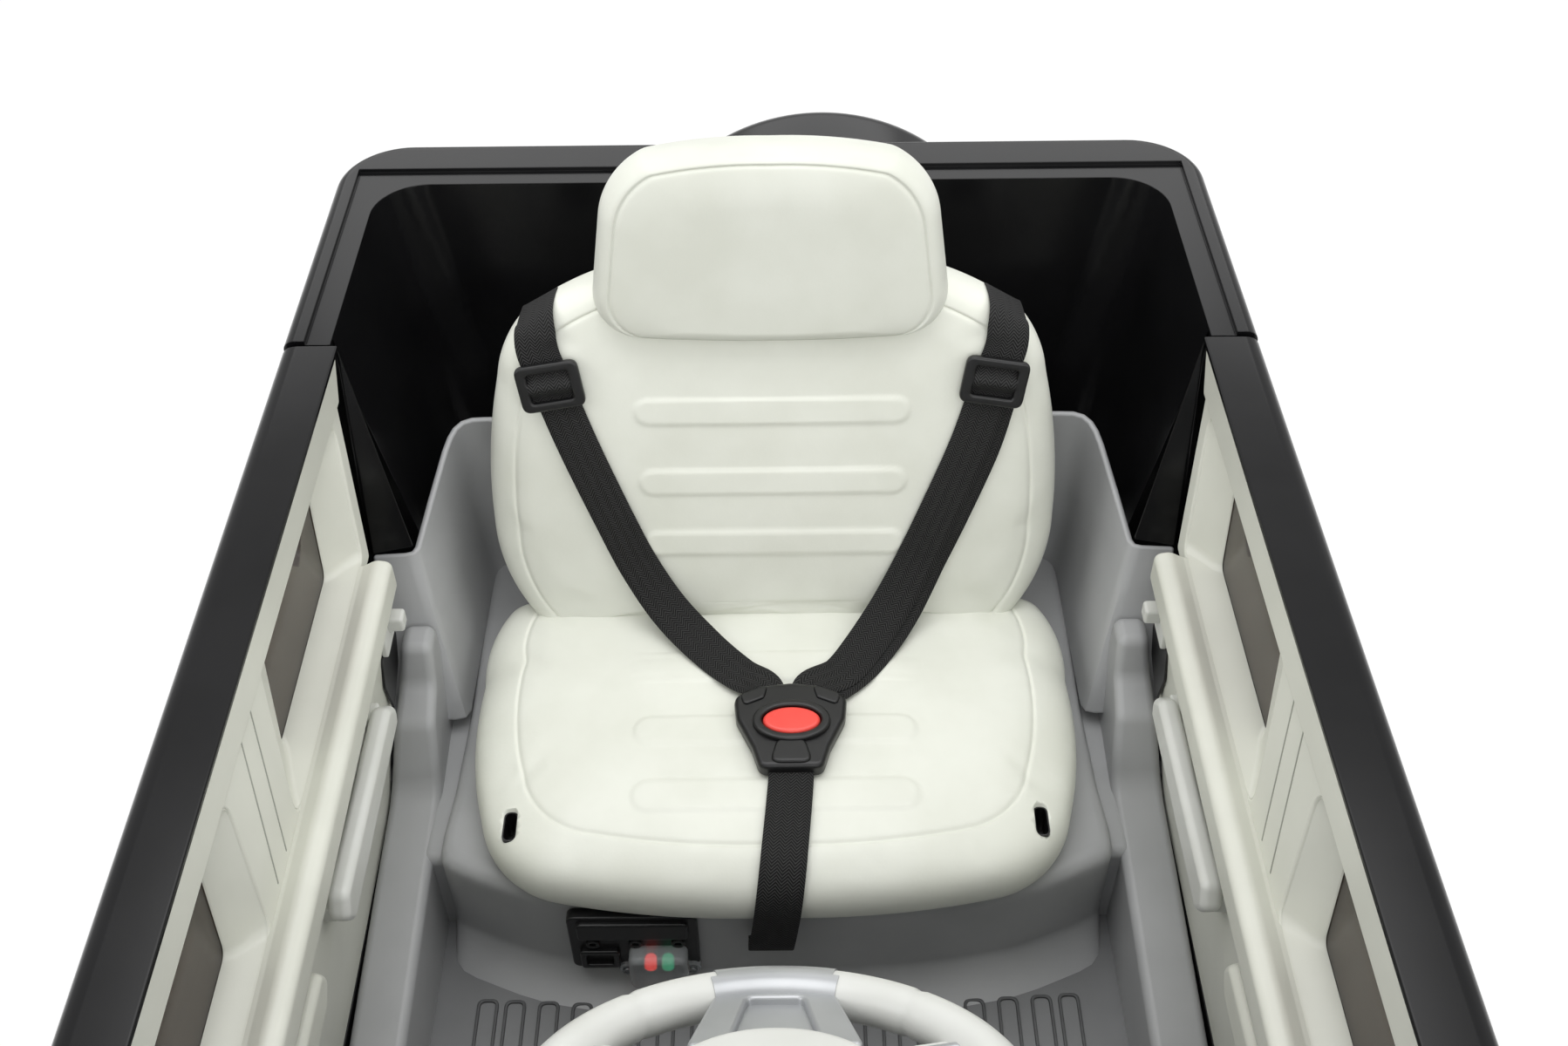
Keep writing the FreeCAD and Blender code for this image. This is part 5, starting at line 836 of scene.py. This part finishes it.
def screw(name, place, turn, scale, material, slot, *replaced):
    """A copy of the screw with its own mesh, at a place in millimetres."""
    copy = twin(screw_model, name)
    copy.data.transform(Matrix.Translation(Vector(place) * MM) @ turn @ Matrix.Scale(scale, 4))
    return fit_out(copy, "car_body", slot, material, *replaced)


screw("seat_screw_left", (SCREW_X, SCREW_Y, 236), FLAT, 1.05, trim_black, "black_satin",
      "seat_screws")
screw("seat_screw_right", (-SCREW_X, SCREW_Y, 236), FLAT, 1.05, trim_black, "black_satin")

# %% [markdown]
# ## Cabin tub
# The tub is one grey moulding: two sills with a bump at the door's catch, a pedestal under the
# seat, and a floor with raised mat ribs. Each part of it is a flat outline given its width and a
# generous radius, as the mould has. The parts are then joined, apart from the floor, whose darker
# grey is painted shade of the footwell.

# %% Tub
sill_corners = [(-214.5, 122.5), (230, 122.5), (230, 290), (207, 290), (197, 264), (172, 251),
                (148, 208), (85, 204), (-214.5, 176)]
sill = plate("tub_sill", rounded(sill_corners, [2, 2, 9, 9, 14, 16, 24, 60, 10]), [], 224.2, 258.8,
             6, TO_SIDE, 5)
for point in sill.data.vertices:
    rise = max(0, point.co.z / MM - 205) / 85
    point.co.x += (3 if point.co.x < 240 * MM else -11.5) * rise * MM
floor_plate = plate("tub_floor", box_outline((-226, -213), (226, 352), 3), [], 122.2, 130, 1)
gutter = block("tub_gutter", (206, 98, 124), (232, 320, 206), 7, 4)
toe = block("tub_toe_board", (-226, -214.6, 124), (226, -210, 262), 1.5)
print("sills, floor and toe board made")

# %% [markdown]
# The pedestal's front bows towards the driver's legs and sweeps out into the floor at its foot. It
# is lofted through its plan at several heights, which neither a box nor a bevel can give.

# %% Pedestal
half_plan = [(0, 50), (40, 50.5), (80, 52.5), (120, 57), (150, 62.5), (170, 69), (187, 76),
             (200, 81.5), (209, 86), (214.5, 90.5), (217, 97), (217, 112), (214, 144), (212, 207),
             (213, 280), (213, 361)]
plan = half_plan + [(-x, y) for x, y in reversed(half_plan[1:])]
levels = [(130, 26), (132, 21), (135, 14.5), (139, 8), (144, 3), (150, 0), (205, 0), (211, 0),
          (215, -1.6), (217.3, -4.5), (218, -9)]
pedestal_points = []
for height, sweep in levels:
    narrower = 1 + min(sweep, 0) / 213
    for x, y in plan:
        front = max(0, min(1, (125 - y) / 40))
        pedestal_points.append((x * narrower, y - sweep * front, height))
top_row = (len(levels) - 1) * len(plan)
pedestal = solid_mesh("tub_pedestal", pedestal_points,
                      [*quads(len(levels), len(plan)),
                       tuple(range(top_row, top_row + len(plan)))])
tub = join("cabin_tub", sill, other_side(sill, "tub_sill_right"), gutter,
           other_side(gutter, "tub_gutter_right"), pedestal, toe)
fit_out(tub, "car_body", "grey_plastic", tub_grey, "floor_tub")
fit_out(floor_plate, "car_body", "grey_plastic", floor_painted_shade_grey)
print("tub", len(tub.data.polygons), "faces")

# %% [markdown]
# Long loops of ribs stand side by side on the foot mats, so that small shoes don't slip.

# %% Foot mats
ribs = []
for side in (1, -1):
    for middle in (62, 84, 106, 128, 150, 172, 190):
        top = 30 + middle * 0.05
        outer = box_outline((side * middle - 7, -196), (side * middle + 7, top), 5)
        inner = box_outline((side * middle - 5, -194), (side * middle + 5, top - 2), 3.6)
        ribs.append(plate("mat_rib", outer, [inner], 129, 131.6, 0.6, steps=2))
mat = join("floor_mat_ribs", *ribs)
# The ribs' dark grey is painted shade of the grooves between them.
fit_out(mat, "car_body", "grey_plastic", rib_grey_painted_shade)

# %% [markdown]
# ## Seat surround
# Behind the seat a thin grey wall closes off the cargo well. Its wings fold forward beside the
# seat and then outwards to the catches. It is a strip of columns from the top edge down to the
# pedestal, thickened by a Solidify modifier and rounded at its rim.

# %% Surround
top_line = [(0, 353, 362), (120, 353, 362), (200, 353, 362), (208, 352.5, 362), (214.5, 350, 361.5),
            (219, 345, 360.3), (222, 338, 358.3), (224.5, 328, 355.2), (231, 294, 343),
            (237, 260, 331), (239.5, 256.5, 330), (244, 255, 330), (265, 253.5, 330)]
foot_line = [(0, 353, 214), (120, 353, 214), (192, 353, 214), (200, 352.5, 214), (206, 350, 214),
             (210, 345, 214), (212, 338, 214), (212.5, 328, 214), (213, 265, 214),
             (213, 212, 215), (215, 206, 216), (220, 204, 217), (262, 204, 217)]
half_columns = [(Vector(top), Vector(foot)) for top, foot in zip(top_line, foot_line)]
MIRROR = Matrix.Scale(-1, 3, (1, 0, 0))
columns = [(MIRROR @ top, MIRROR @ foot) for top, foot in half_columns[:0:-1]] + half_columns
ROWS = 8
surround_points = [foot.lerp(top, row / ROWS) for top, foot in columns for row in range(ROWS + 1)]
surround = solid_mesh("seat_surround_wall", surround_points,
                      quads(len(columns), ROWS + 1, closed=False))
thicken(surround, 4.6).use_even_offset = True
apply_all(surround)
soften(surround, 1.9, 3, 60)
fit_out(surround, "car_body", "grey_plastic", tub_grey, "seat_surround")

# %% [markdown]
# A narrow black facet leads from the catch up to the rail, and closes the corner behind the door.
# It is a three-sided prism, which is quicker drawn by its corners than cut from a box.

# %% Door jambs
jamb_corners = [(268.5, 296, 477), (265, 253, 331), (239, 259.5, 331), (271, 300, 477),
                (268, 258, 331), (241, 264, 331)]
jamb = solid_mesh("door_jamb_left", jamb_corners,
                  [(0, 1, 2), (5, 4, 3), (0, 3, 4, 1), (1, 4, 5, 2), (2, 5, 3, 0)])
pair(soften(jamb, 1.2), "car_body", "black_gloss", gloss_black)

# %% [markdown]
# ## Body shells
# The outside is blow-moulded and injection-moulded plastic. The CAD solids already have its
# shapes, but their edges are sharp and catch no light. A merged copy of each gets the small
# radius that a mould leaves.

# %% Shells
SHELLS = [
    (gloss_black, "black_gloss", {"rear_body_shell": 2.4, "spare_wheel_cover": 2.0,
                                  "front_fenders": 3.0, "hood": 2.5, "windscreen_frame": 2.5}),
    (satin_black, "black_satin", {"chassis_pan": 1.0, "rear_bumper": 3.0, "front_bumper": 3.0,
                                  "front_grille": 1.2, "side_steps": 3.0}),
    (tub_grey, "grey_plastic", {"dashboard": 3.0}), (lens_red, "red_lens", {"tail_lights": 1.5}),
]
for material, slot, radii in SHELLS:
    for node, radius in radii.items():
        shell = from_node(node, node + "_moulding", radius)
        fit_out(shell, "car_body", slot, material, node)
        print(node, len(shell.data.polygons), "faces")

# %% [markdown]
# ## Doors
# Each door is a black outer skin with a rail along its top, and a cream lining with two deep
# window openings that lean back. The lining starts as a flat outline with two holes, leaned
# outwards at its top. A liner then runs from each hole to the smaller frame at the pane, which
# gives the broad slanted reveals. The left door is modelled, and the right one is its mirror
# image with meshes of its own.

# %% Door lining


def leaning(low, high, lean, bottom, top, radius):
    """A window from low to high along the car, whose ends lean back by the same amount."""
    return rounded([(low, bottom), (high, bottom), (high + lean, top), (low + lean, top)], radius)


LEAN_OUT, LEAN_FROM = 0.118, 372
LINING_X, PANE_X = 258.8, 277
openings = [rounded([(-212, 369), (-48, 369), (-22, 450), (-186, 450)], 12),
            rounded([(17, 369), (214, 369), (254, 450), (56, 450)], 10)]
pane_frames = [rounded([(-200, 372.5), (-64, 372.5), (-51, 446), (-187, 446)], 8),
               rounded([(64, 371.5), (195, 371.5), (209, 446), (86, 446)], 8)]
upper = plate("lining_upper",
              rounded([(-229, 360), (224, 360), (281, 477), (-229, 477)], [1, 4, 4, 1]), openings,
              258, 265, 1.4, TO_SIDE)
tilt_out = Matrix.Identity(4)
tilt_out[0][2] = LEAN_OUT
tilt_out[0][3] = -LEAN_OUT * LEAN_FROM * MM
upper.data.transform(tilt_out)
REVEAL_STEPS = (0, 0.08, 0.4, 0.7, 0.94, 1)
liners = []
for near, far in zip(openings, pane_frames):
    points = []
    for t in REVEAL_STEPS:
        ease = t * t * (3 - 2 * t)
        for p, q in zip(near, far):
            start = LINING_X + LEAN_OUT * (p[1] - LEAN_FROM)
            points.append((start + (PANE_X - start) * t, p[0] + (q[0] - p[0]) * ease,
                           p[1] + (q[1] - p[1]) * ease))
    liner = solid_mesh("window_liner", points, quads(len(REVEAL_STEPS), len(near)))
    thicken(liner, 1.2)
    apply_all(liner)
    liners.append(liner)
print("upper lining with", len(liners), "window liners")

# %% [markdown]
# Below the windows runs a round roll, and under it the lower lining stands out again, with a
# pocket behind the pull bar and an armrest in front of it. A strip closes the lining's top edge.

# %% Lower lining
roll = plate("belt_roll",
             rounded([(263, 366.5), (263, 368.5), (255.5, 370), (247, 375), (237.5, 373),
                      (237.5, 346), (257, 346)], [0.3, 0.3, 4, 8, 8, 9, 2]),
             [], -208, 229, 3, TO_FRONT, 4)
lip = plate("belt_lip", rounded([(243, 339), (256, 339), (256, 344.5), (243, 344.5)], 1.6), [],
            -216, 229, 1.4, TO_FRONT)
lower_outline = rounded([(-229, 195), (150, 195), (182, 250), (216, 270), (225, 318), (208, 350),
                         (206, 366), (-229, 366)], [4, 8, 8, 8, 8, 8, 2, 1])
pocket = box_outline((20, 292), (86, 334), 7)
lower = plate("lining_lower", lower_outline, [pocket], 252, 290.6, 2.2, TO_SIDE)
for point in lower.data.vertices:
    if point.co.x < 262 * MM:
        point.co.x += min(8.2, max(0, (292 - point.co.z / MM) * 0.095)) * MM
pocket_back = plate("pocket_back", box_outline((16, 287), (92, 338), 6), [], 272, 276, 0.5, TO_SIDE)
head_strip = plate("head_strip",
                   rounded([(-229, 452), (267, 452), (281, 477.4), (-229, 477.4)], [1, 2, 2, 1]),
                   [], 265.2, 270.6, 1, TO_SIDE)
armrest = plate("door_armrest",
                rounded([(-210, 306), (-58, 306), (-46, 318), (-52, 332), (-210, 338)],
                        [6, 8, 8, 8, 6]), [], 239, 254, 5, TO_SIDE, 5)
lining = join("door_lining_left", upper, *liners, roll, lip, lower, pocket_back, head_strip,
              armrest)

# %% [markdown]
# The lining carries a pull bar, a sliding catch and a leaf-shaped speaker mesh. Two fine lines
# are pressed into the post between the windows; they are drawn as thin strips of darker cream,
# which is painted shade of the grooves.

# %% Door fittings
bar = plate("door_pull_bar",
            rounded([(-4, 302), (110, 300), (138, 300), (142, 312), (130, 324), (-4, 330),
                     (-12, 316)], [8, 20, 6, 8, 9, 8, 8]), [], 234.6, 247, 4.6, TO_SIDE, 5)
feet = [block("pull_foot", (244, y, 304), (253.5, y + 14, 318), 2) for y in (-6, 126)]
pull = join("door_pull_left_bar", bar, *feet)
slider = block("catch_plate", (247.4, 184.5, 306.5), (251.9, 207.5, 329.5), 1.4)
tab = block("catch_tab", (237, 196, 318), (249, 207.5, 329.5), 2.2)
catch = join("door_catch_left", slider, tab)
post_lines = join("door_post_lines_left", *[
    plate("post_line", rounded([(y, 374), (y + 1.2, 374), (y + 36.2, 449), (y + 35, 449)], 0.2), [],
          257.7, 258.4, 0.15, TO_SIDE, 1)
    for y in (-25, -5)])
post_lines.data.transform(tilt_out)
leaf = rounded([(207, 305), (181, 308), (173, 290), (179, 262), (208, 275), (219, 294)],
               [6, 5, 8, 3, 6, 6])
speaker = plate("speaker_mesh_left", leaf, [], 250.8, 252.6, 0.6, TO_SIDE)
panes = join("door_panes_left",
             plate("pane", leaning(-208, -50, 30, 366, 452, 9), [], 277.2, 279.8, 0.4, TO_SIDE),
             plate("pane", leaning(6, 216, 30, 366, 452, 9), [], 277.2, 279.8, 0.4, TO_SIDE))

# %% [markdown]
# The outer skin is a plate with the same windows, and a black ledge holds each pane at its foot.
# The rail above it has a broad round on its outer edge, where a child's arm rests.

# %% Door skin
skin_holes = [leaning(-204, -56, 26, 378, 451, 9), leaning(10, 211, 26, 378, 451, 9)]
skin_plate = plate("skin_plate",
                   rounded([(-234, 190), (174, 190), (196, 264), (288, 294), (288, 470),
                            (-234, 470)], [6, 6, 10, 6, 1, 1]),
                   skin_holes, 291.2, 300, 2.2, TO_SIDE)
rail = plate("door_rail",
             rounded([(271.5, 457), (300, 457), (300, 480), (264.6, 480), (264.6, 476.8),
                      (271.5, 475)], [1, 2, 12, 1.2, 1, 1]), [], -288, 234, 1.4, TO_FRONT)
ledges = [plate("pane_ledge", leaning(low, high, 8, 362, 391, 3), [], 280.6, 282.4, 0.4,
                TO_SIDE) for low, high in ((-210, -44), (4, 218))]
skin = join("door_skin_left_moulding", skin_plate, rail, *ledges)
DOOR_PIECES = [
    (lining, "door_left", "cream_plastic", cream, "door_panel_left"),
    (pull, "door_left", "cream_plastic", white_cream, "door_pull_left"),
    (skin, "door_left", "black_gloss", gloss_black, "door_skin_left"),
    (panes, "door_left", "smoked_glass", smoked, "door_windows_left"),
    (post_lines, "door_left", "cream_plastic", seam_shade),
    (speaker, "door_left", "black_satin", trim_black),
    (catch, "latch_left", "cream_plastic", white_cream, "door_latch_left"),
]
for row in DOOR_PIECES:
    pair(*row)
for side in ("left", "right"):
    mirror = from_node("mirror_" + side, "mirror_" + side + "_moulding", 4.0)
    fit_out(mirror, "door_" + side, "black_gloss", gloss_black, "mirror_" + side)
print("doors made")

# %% [markdown]
# ## Outside fittings
# Each headlight is a foil-covered bowl with pressed rings behind a fluted lens, held by a bright
# ring. The doors carry a rub strip, a handle and a mirror glass, and the steps have ribs against
# slipping. All of these are small clipped-on mouldings, so each is its own piece on the body that
# carries it.

# %% Outside fittings


def hoop(name, place, radius, thick, tip=math.pi / 2, fine=(72, 12)):
    """A round hoop that faces the car's nose, or straight up where its tip is 0."""
    deselect()
    bpy.ops.mesh.primitive_torus_add(major_radius=radius * MM, minor_radius=thick * MM,
                                     major_segments=fine[0], minor_segments=fine[1],
                                     location=[c * MM for c in place], rotation=(tip, 0, 0))
    return made(name)


LAMP_X, LAMP_Z, LAMP_Y = 256, 296, -560
FLUTE_STEP, FLUTE_REACH = 8, 28
lamp_face = ellipse(LAMP_X, LAMP_Z, 32.6, 32.6, 64)
bowl_rings = [hoop("ring", (LAMP_X, LAMP_Y - 1.6, LAMP_Z), radius, 1.5) for radius in (27, 19, 11)]
bowl = join("headlight_bowl_left",
            plate("bowl", lamp_face, [], 560.2, 561.8, 0.4, TO_FRONT), *bowl_rings)
flutes = []
for step in range(-3, 4):
    tall = math.sqrt(FLUTE_REACH ** 2 - (FLUTE_STEP * step) ** 2)
    middle = LAMP_X + FLUTE_STEP * step
    flutes.append(block("flute", (middle - 3, LAMP_Y - 9.4, LAMP_Z - tall),
                        (middle + 3, LAMP_Y - 7.6, LAMP_Z + tall), 0.8))
lens = join("headlight_lens_left",
            plate("lens", lamp_face, [], 564.5, 568.4, 1.4, TO_FRONT), *flutes)
lamp_ring = hoop("headlight_ring_left", (LAMP_X, LAMP_Y - 7, LAMP_Z), 36.4, 2.4)
pair(bowl, "car_body", "silver_paint", mirror_silver)
pair(lens, "car_body", "clear_plastic", lamp_clear, "headlight_lenses")
pair(lamp_ring, "car_body", "steel", zinc)

STEP_RIBS = ((307, 110.2), (314, 108.8), (321, 107.4))
step_ribs = join("step_ribs_left", *[
    block("rib", (middle - 2, -204, 103), (middle + 2, 162, top), 0.8)
    for middle, top in STEP_RIBS])
pair(step_ribs, "car_body", "black_satin", trim_black)

rub_strip = plate("rub_strip_left", box_outline((-222, 300), (272, 315), 4), [], 299.6, 304.4, 1.8,
                  TO_SIDE)
handle_cup = plate("handle_cup", box_outline((204, 324), (266, 353), 7),
                   [box_outline((209, 329), (261, 348), 4)], 299.6, 302.4, 0.8, TO_SIDE)
handle = join("door_handle_left", handle_cup,
              block("lever", (299.6, 215, 336), (307.5, 257, 345), 2))
mirror_glass = plate("mirror_glass_left", box_outline((315.5, 355.5), (356.5, 398.5), 7), [], 166.6,
                     168.4, 0.5, TO_FRONT)
pair(rub_strip, "door_left", "black_satin", trim_black)
pair(handle, "door_left", "black_satin", trim_black)
pair(mirror_glass, "door_left", "silver_paint", mirror_silver)
print("outside fittings made")

# %% [markdown]
# ## Steering wheel
# The wheel has a thick cream ring with seams where its grips meet, a silver lower spoke with a
# hollow face and a clasp round the ring, and a round cushion over the horn. It is modelled flat,
# with its lower spoke towards the driver, and then leaned back 35 degrees with the column.

# %% Steering wheel
WHEEL_MM = (0, -158.2, 399.8)
LEAN = Matrix.Translation(WHEEL_MM) @ Matrix.Rotation(math.radians(-35), 4, "X")
RING_RADIUS, RING_THICK, CLASP_THICK = 109, 12.2, 13
RING_FINE = (180, 28)
SEAM_TURNS, SEAM_HALF, SEAM_SHRINK = (-50, -130, 50, 130), 0.6, 0.93
CLASP_REACH = 31
ring = hoop("steering_grip", (0, 0, 0), RING_RADIUS, RING_THICK, 0, RING_FINE)
for turn in SEAM_TURNS:
    bpy.ops.object.mode_set(mode="EDIT")
    bpy.ops.mesh.select_all(action="DESELECT")
    shape = bmesh.from_edit_mesh(ring.data)
    for point in shape.verts:
        off = math.degrees(math.atan2(point.co.y, point.co.x)) - turn
        point.select = abs((off + 180) % 360 - 180) < SEAM_HALF
    shape.select_flush_mode()
    way = Vector((math.cos(math.radians(turn)), math.sin(math.radians(turn)), 0))
    bpy.ops.transform.resize(value=[SEAM_SHRINK] * 3, center_override=way * RING_RADIUS * MM)
    bpy.ops.object.mode_set(mode="OBJECT")


def on_side(outline, side, radius):
    """A rounded outline, or its mirror image where the side is -1, turning the same way."""
    return rounded([(side * x, y) for x, y in outline][::side], radius)


arm_outline = [(38, -17), (104, -15), (109, 18), (98, 58), (66, 50), (36, 26)]
hub = join("steering_hub_moulding",
           plate("hub_disc", ellipse(0, 0, 57, 57, 72), [], -15.5, 10.5, 8, steps=8),
           *[plate("hub_arm", on_side(arm_outline, side, 8), [], -9, 2, 3) for side in (1, -1)])
clasp = hoop("spoke_clasp", (0, 0, 0), RING_RADIUS, CLASP_THICK, 0, RING_FINE)
bpy.ops.object.mode_set(mode="EDIT")
shape = bmesh.from_edit_mesh(clasp.data)
away = [f for f in shape.faces
        if abs(f.calc_center_median().x) > CLASP_REACH * MM or f.calc_center_median().y < 0]
bmesh.ops.delete(shape, geom=away, context="FACES")
bmesh.update_edit_mesh(clasp.data)
bpy.ops.object.mode_set(mode="OBJECT")
thicken(clasp, 1.2, offset=-1)
apply_all(clasp)
spoke = join("steering_lower_spoke", clasp,
             plate("lower_spoke", rounded([(-43, 44), (43, 44), (29, 104), (-29, 104)], 4),
                   [rounded([(-21, 54), (21, 54), (14, 93), (-14, 93)], 5)], -8, 5.5, 2.5),
             plate("lower_spoke_floor", rounded([(-23, 51), (23, 51), (16, 96), (-16, 96)], 4), [],
                   -7, 1, 1))
frame_outline = [(46, -9), (98, -8), (101, 14), (92, 48), (68, 42), (46, 22)]
face_outline = [(51, -4), (94, -3.5), (96, 13), (88.5, 43), (70, 37.5), (51, 19)]
frames_piece = join("steering_button_frames", *[
    plate("button_frame", on_side(frame_outline, side, 6), [on_side(face_outline, side, 4)], 0, 5,
          1.3) for side in (1, -1)])
faces_piece = join("steering_button_faces", *[
    plate("button_face", on_side(face_outline, side, 4), [], 0, 3.4, 0.3) for side in (1, -1)])
horn = plate("horn_cushion", ellipse(0, 0, 23.7, 23.7, 64), [], 4, 14.2, 3.5, steps=6)
for piece, body, slot, material, *replaced in (
        (ring, "steering_wheel", "cream_plastic", white_cream, "steering_rim"),
        (hub, "steering_wheel", "cream_plastic", white_cream, "steering_hub"),
        (spoke, "steering_wheel", "silver_paint", silver),
        (frames_piece, "steering_wheel", "silver_paint", silver),
        (faces_piece, "steering_wheel", "grey_plastic", tub_grey),
        (horn, "horn", "cream_plastic", white_cream, "horn_button")):
    put(piece, LEAN)
    fit_out(piece, body, slot, material, *replaced)
print("steering wheel made")

# %% [markdown]
# ## Charging panel
# On the front of the pedestal sits a black panel with a hooded socket and three screw bosses. A
# clear cap with a red and a green lamp is screwed on beside them.

# %% Charging panel
panel_face = plate("charge_face", box_outline((-132, 157), (-50, 216), 6), [], -56, -47.6, 1.4,
                   TO_FRONT)
lid = plate("charge_lid", box_outline((-126, 194), (-56, 212), 4), [], -49, -44.4, 1.6, TO_FRONT)
socket = plate("charge_socket", box_outline((-126, 161), (-101, 181), 3),
               [box_outline((-122, 165), (-105, 177), 2)], -49, -44, 1.2, TO_FRONT)
bosses = [plate("charge_boss", ellipse(x, 187, 4.4, 4.4, 24), [ellipse(x, 187, 2.2, 2.2, 24)],
                -49, -45.6, 0.6, TO_FRONT) for x in (-117, -90, -63)]
charge = join("charge_panel_face", panel_face, lid, socket, *bosses)
fit_out(charge, "car_body", "black_satin", trim_black, "charge_panel")
cap = plate("indicator_cap", box_outline((-95, 147), (-57, 183), 7), [], -50.8, -35.5, 4, TO_FRONT,
            5)
fit_out(cap, "car_body", "clear_plastic", clear_cap, "charge_indicator_cover")
for name, x, material in (("red", -81, red_led), ("green", -70, green_led)):
    deselect()
    bpy.ops.mesh.primitive_uv_sphere_add(segments=24, ring_count=12, radius=4 * MM,
                                         location=Vector((x, 43, 171)) * MM)
    lamp = made("indicator_" + name)
    fit_out(lamp, "car_body", "red_lens" if name == "red" else "clear_plastic", material)
TURN_FRONT = Matrix.Rotation(math.radians(90), 4, "X")
for name, x in (("one", -97), ("two", -55)):
    ear = plate("indicator_ear_" + name, ellipse(x, 158, 5.5, 5.5, 24), [], -50.8, -45, 0.7,
                TO_FRONT)
    fit_out(ear, "car_body", "clear_plastic", clear_cap)
    screw("indicator_screw_" + name, (x, 44.5, 158), TURN_FRONT, 0.7, zinc, "steel")

# %% [markdown]
# ## Wheels
# Toy wheels are blow-moulded in one hard piece, with blocks round the tread and a silver trim
# pressed into the middle. One tyre is made by spinning its profile round the axle, and its blocks
# are copies of two rounded boxes. The car's four tyres are copies with meshes of their own.

# %% Wheels
AXLES = {"front_left": (274.5, -385), "front_right": (-274.5, -385), "rear_left": (274.5, 335),
         "rear_right": (-274.5, 335)}
tyre_profile = [(86, -42), (100, -42.4), (108, -41), (114, -37), (118, -31), (119.5, -22),
                (119.5, 22), (118, 31), (114, 37), (108, 41), (100, 42.4), (86, 42)]
STEPS_ROUND = 72
BLOCKS_ROUND = 24
AXLE_Z = 125
turns = [2 * math.pi * k / STEPS_ROUND for k in range(STEPS_ROUND)]
tyre = solid_mesh("tyre_model",
                  [(x, r * math.cos(t), r * math.sin(t)) for t in turns for r, x in tyre_profile],
                  quads(STEPS_ROUND, len(tyre_profile), round_again=True))
lug = block("tread_block", (14, -7, 116), (39, 7, 124.6), 2, 1)
bar_lug = block("tread_bar", (-9, -9, 116), (9, 9, 124.6), 2, 1)
lugs = []
for k in range(BLOCKS_ROUND):
    for model, flipped, shift in ((lug, False, 0), (lug, True, 4), (bar_lug, False, 7.5)):
        turn = Matrix.Rotation(math.radians(360 / BLOCKS_ROUND * k + shift), 4, "X")
        copy = other_side(model, "tread_copy") if flipped else twin(model, "tread_copy")
        copy.data.transform(turn)
        lugs.append(copy)
for model in (lug, bar_lug):
    bpy.data.objects.remove(model)
tyre = join("tyre_model", tyre, *lugs)
for corner, (x, y) in AXLES.items():
    wheel = twin(tyre, corner + "_tread")
    wheel.data.transform(Matrix.Translation(Vector((x, y, AXLE_Z)) * MM))
    fit_out(wheel, corner + "_wheel", "tyre_plastic", tyre_black, corner + "_tyre")
    trim = from_node(corner + "_rim", corner + "_trim", 1.2)
    fit_out(trim, corner + "_wheel", "rim_silver", rim_silver, corner + "_rim")
bpy.data.objects.remove(tyre)
bpy.data.objects.remove(screw_model)
print("wheels made")

# %% [markdown]
# ## Plain parts
# The rods, motors, battery, pedal, start button and windscreen pane keep their CAD shapes, which
# are simple turned or cut forms, and only get their real finish.

# %% Finishes on CAD pieces
FINISH = {
    "steering_column": zinc, "tie_rod": zinc, "knuckle_left": zinc, "knuckle_right": zinc,
    "rear_axle": zinc, "gear_motors": satin_black, "battery": satin_black,
    "control_box": satin_black, "accelerator_pedal": satin_black, "start_button": red_gloss,
    "windscreen_pane": lamp_clear,
}
for node, material in FINISH.items():
    for place in nodes[node].material_slots:
        place.material = material
print("finishes on", len(FINISH), "CAD nodes")

# %% [markdown]
# ## Studio
# The car stands on a white sweep that is as bright as the paper of a catalogue. Wide lamps above
# and to the sides give soft shadows, and the black plastic mirrors them as pale bands.

# %% Floor and light
FLOOR_GLOW, SKY_LIGHT = 0.8, 0.72
deselect()
bpy.ops.mesh.primitive_plane_add(size=14, location=(0, 0, -0.001))
floor = made("studio_floor")
paper, paper_shader = new_material("white_paper_sweep", Roughness=0.9, Base_Color=tint("#f4f4f4"))
rays = add_node(paper, "ShaderNodeLightPath").outputs
glow = add_node(paper, "ShaderNodeEmission", {"Color": tint("#ffffff"), "Strength": 1.0})
seen = rays["Is Camera Ray"]
for way in ("Is Glossy Ray", "Is Transmission Ray"):
    seen = maths(paper, "MAXIMUM", seen, rays[way])
paper_mix = add_node(paper, "ShaderNodeMixShader",
                     {0: maths(paper, "MULTIPLY", seen, FLOOR_GLOW), 1: paper_shader.outputs[0],
                      2: glow.outputs[0]})
paper.node_tree.links.new(paper_mix.outputs[0], paper.node_tree.nodes["Material Output"].inputs[0])
floor.data.materials.append(paper)


def lamp_panel(name, place, aim, size, power):
    """A wide soft lamp that looks at a point."""
    data = bpy.data.lights.new(name, "AREA")
    data.shape = "RECTANGLE"
    data.size, data.size_y = size
    data.energy = power
    lamp = into_scene(bpy.data.objects.new(name, data))
    lamp.location = place
    lamp.rotation_euler = (Vector(aim) - Vector(place)).to_track_quat("-Z", "Y").to_euler()


lamp_panel("overhead_softbox", (0, 0.4, 2.6), (0, 0.25, 0.2), (2.4, 1.8), 30)
lamp_panel("left_softbox", (-2.2, -0.4, 1.6), (0, 0.1, 0.3), (1.6, 1.4), 15)
lamp_panel("right_softbox", (2.2, -0.2, 1.6), (0, 0.1, 0.3), (1.6, 1.4), 14)
lamp_panel("front_softbox", (0.3, -2.4, 1.8), (0, 0.2, 0.35), (1.8, 1.2), 19)
lamp_panel("rear_softbox", (0, 2.8, 1.9), (0, 0.3, 0.5), (3.0, 1.0), 12)
world = bpy.data.worlds.new("studio")
bpy.context.scene.world = world
world.use_nodes = True
sky = world.node_tree.nodes["Background"]
sky.inputs[0].default_value = tint("#ffffff")
sky_rays = add_node(world, "ShaderNodeLightPath").outputs
sky_strength = add_node(world, "ShaderNodeMapRange",
                        {0: sky_rays["Is Camera Ray"], 3: SKY_LIGHT, 4: 1.0})
world.node_tree.links.new(sky_strength.outputs[0], sky.inputs[1])
print("studio lit")
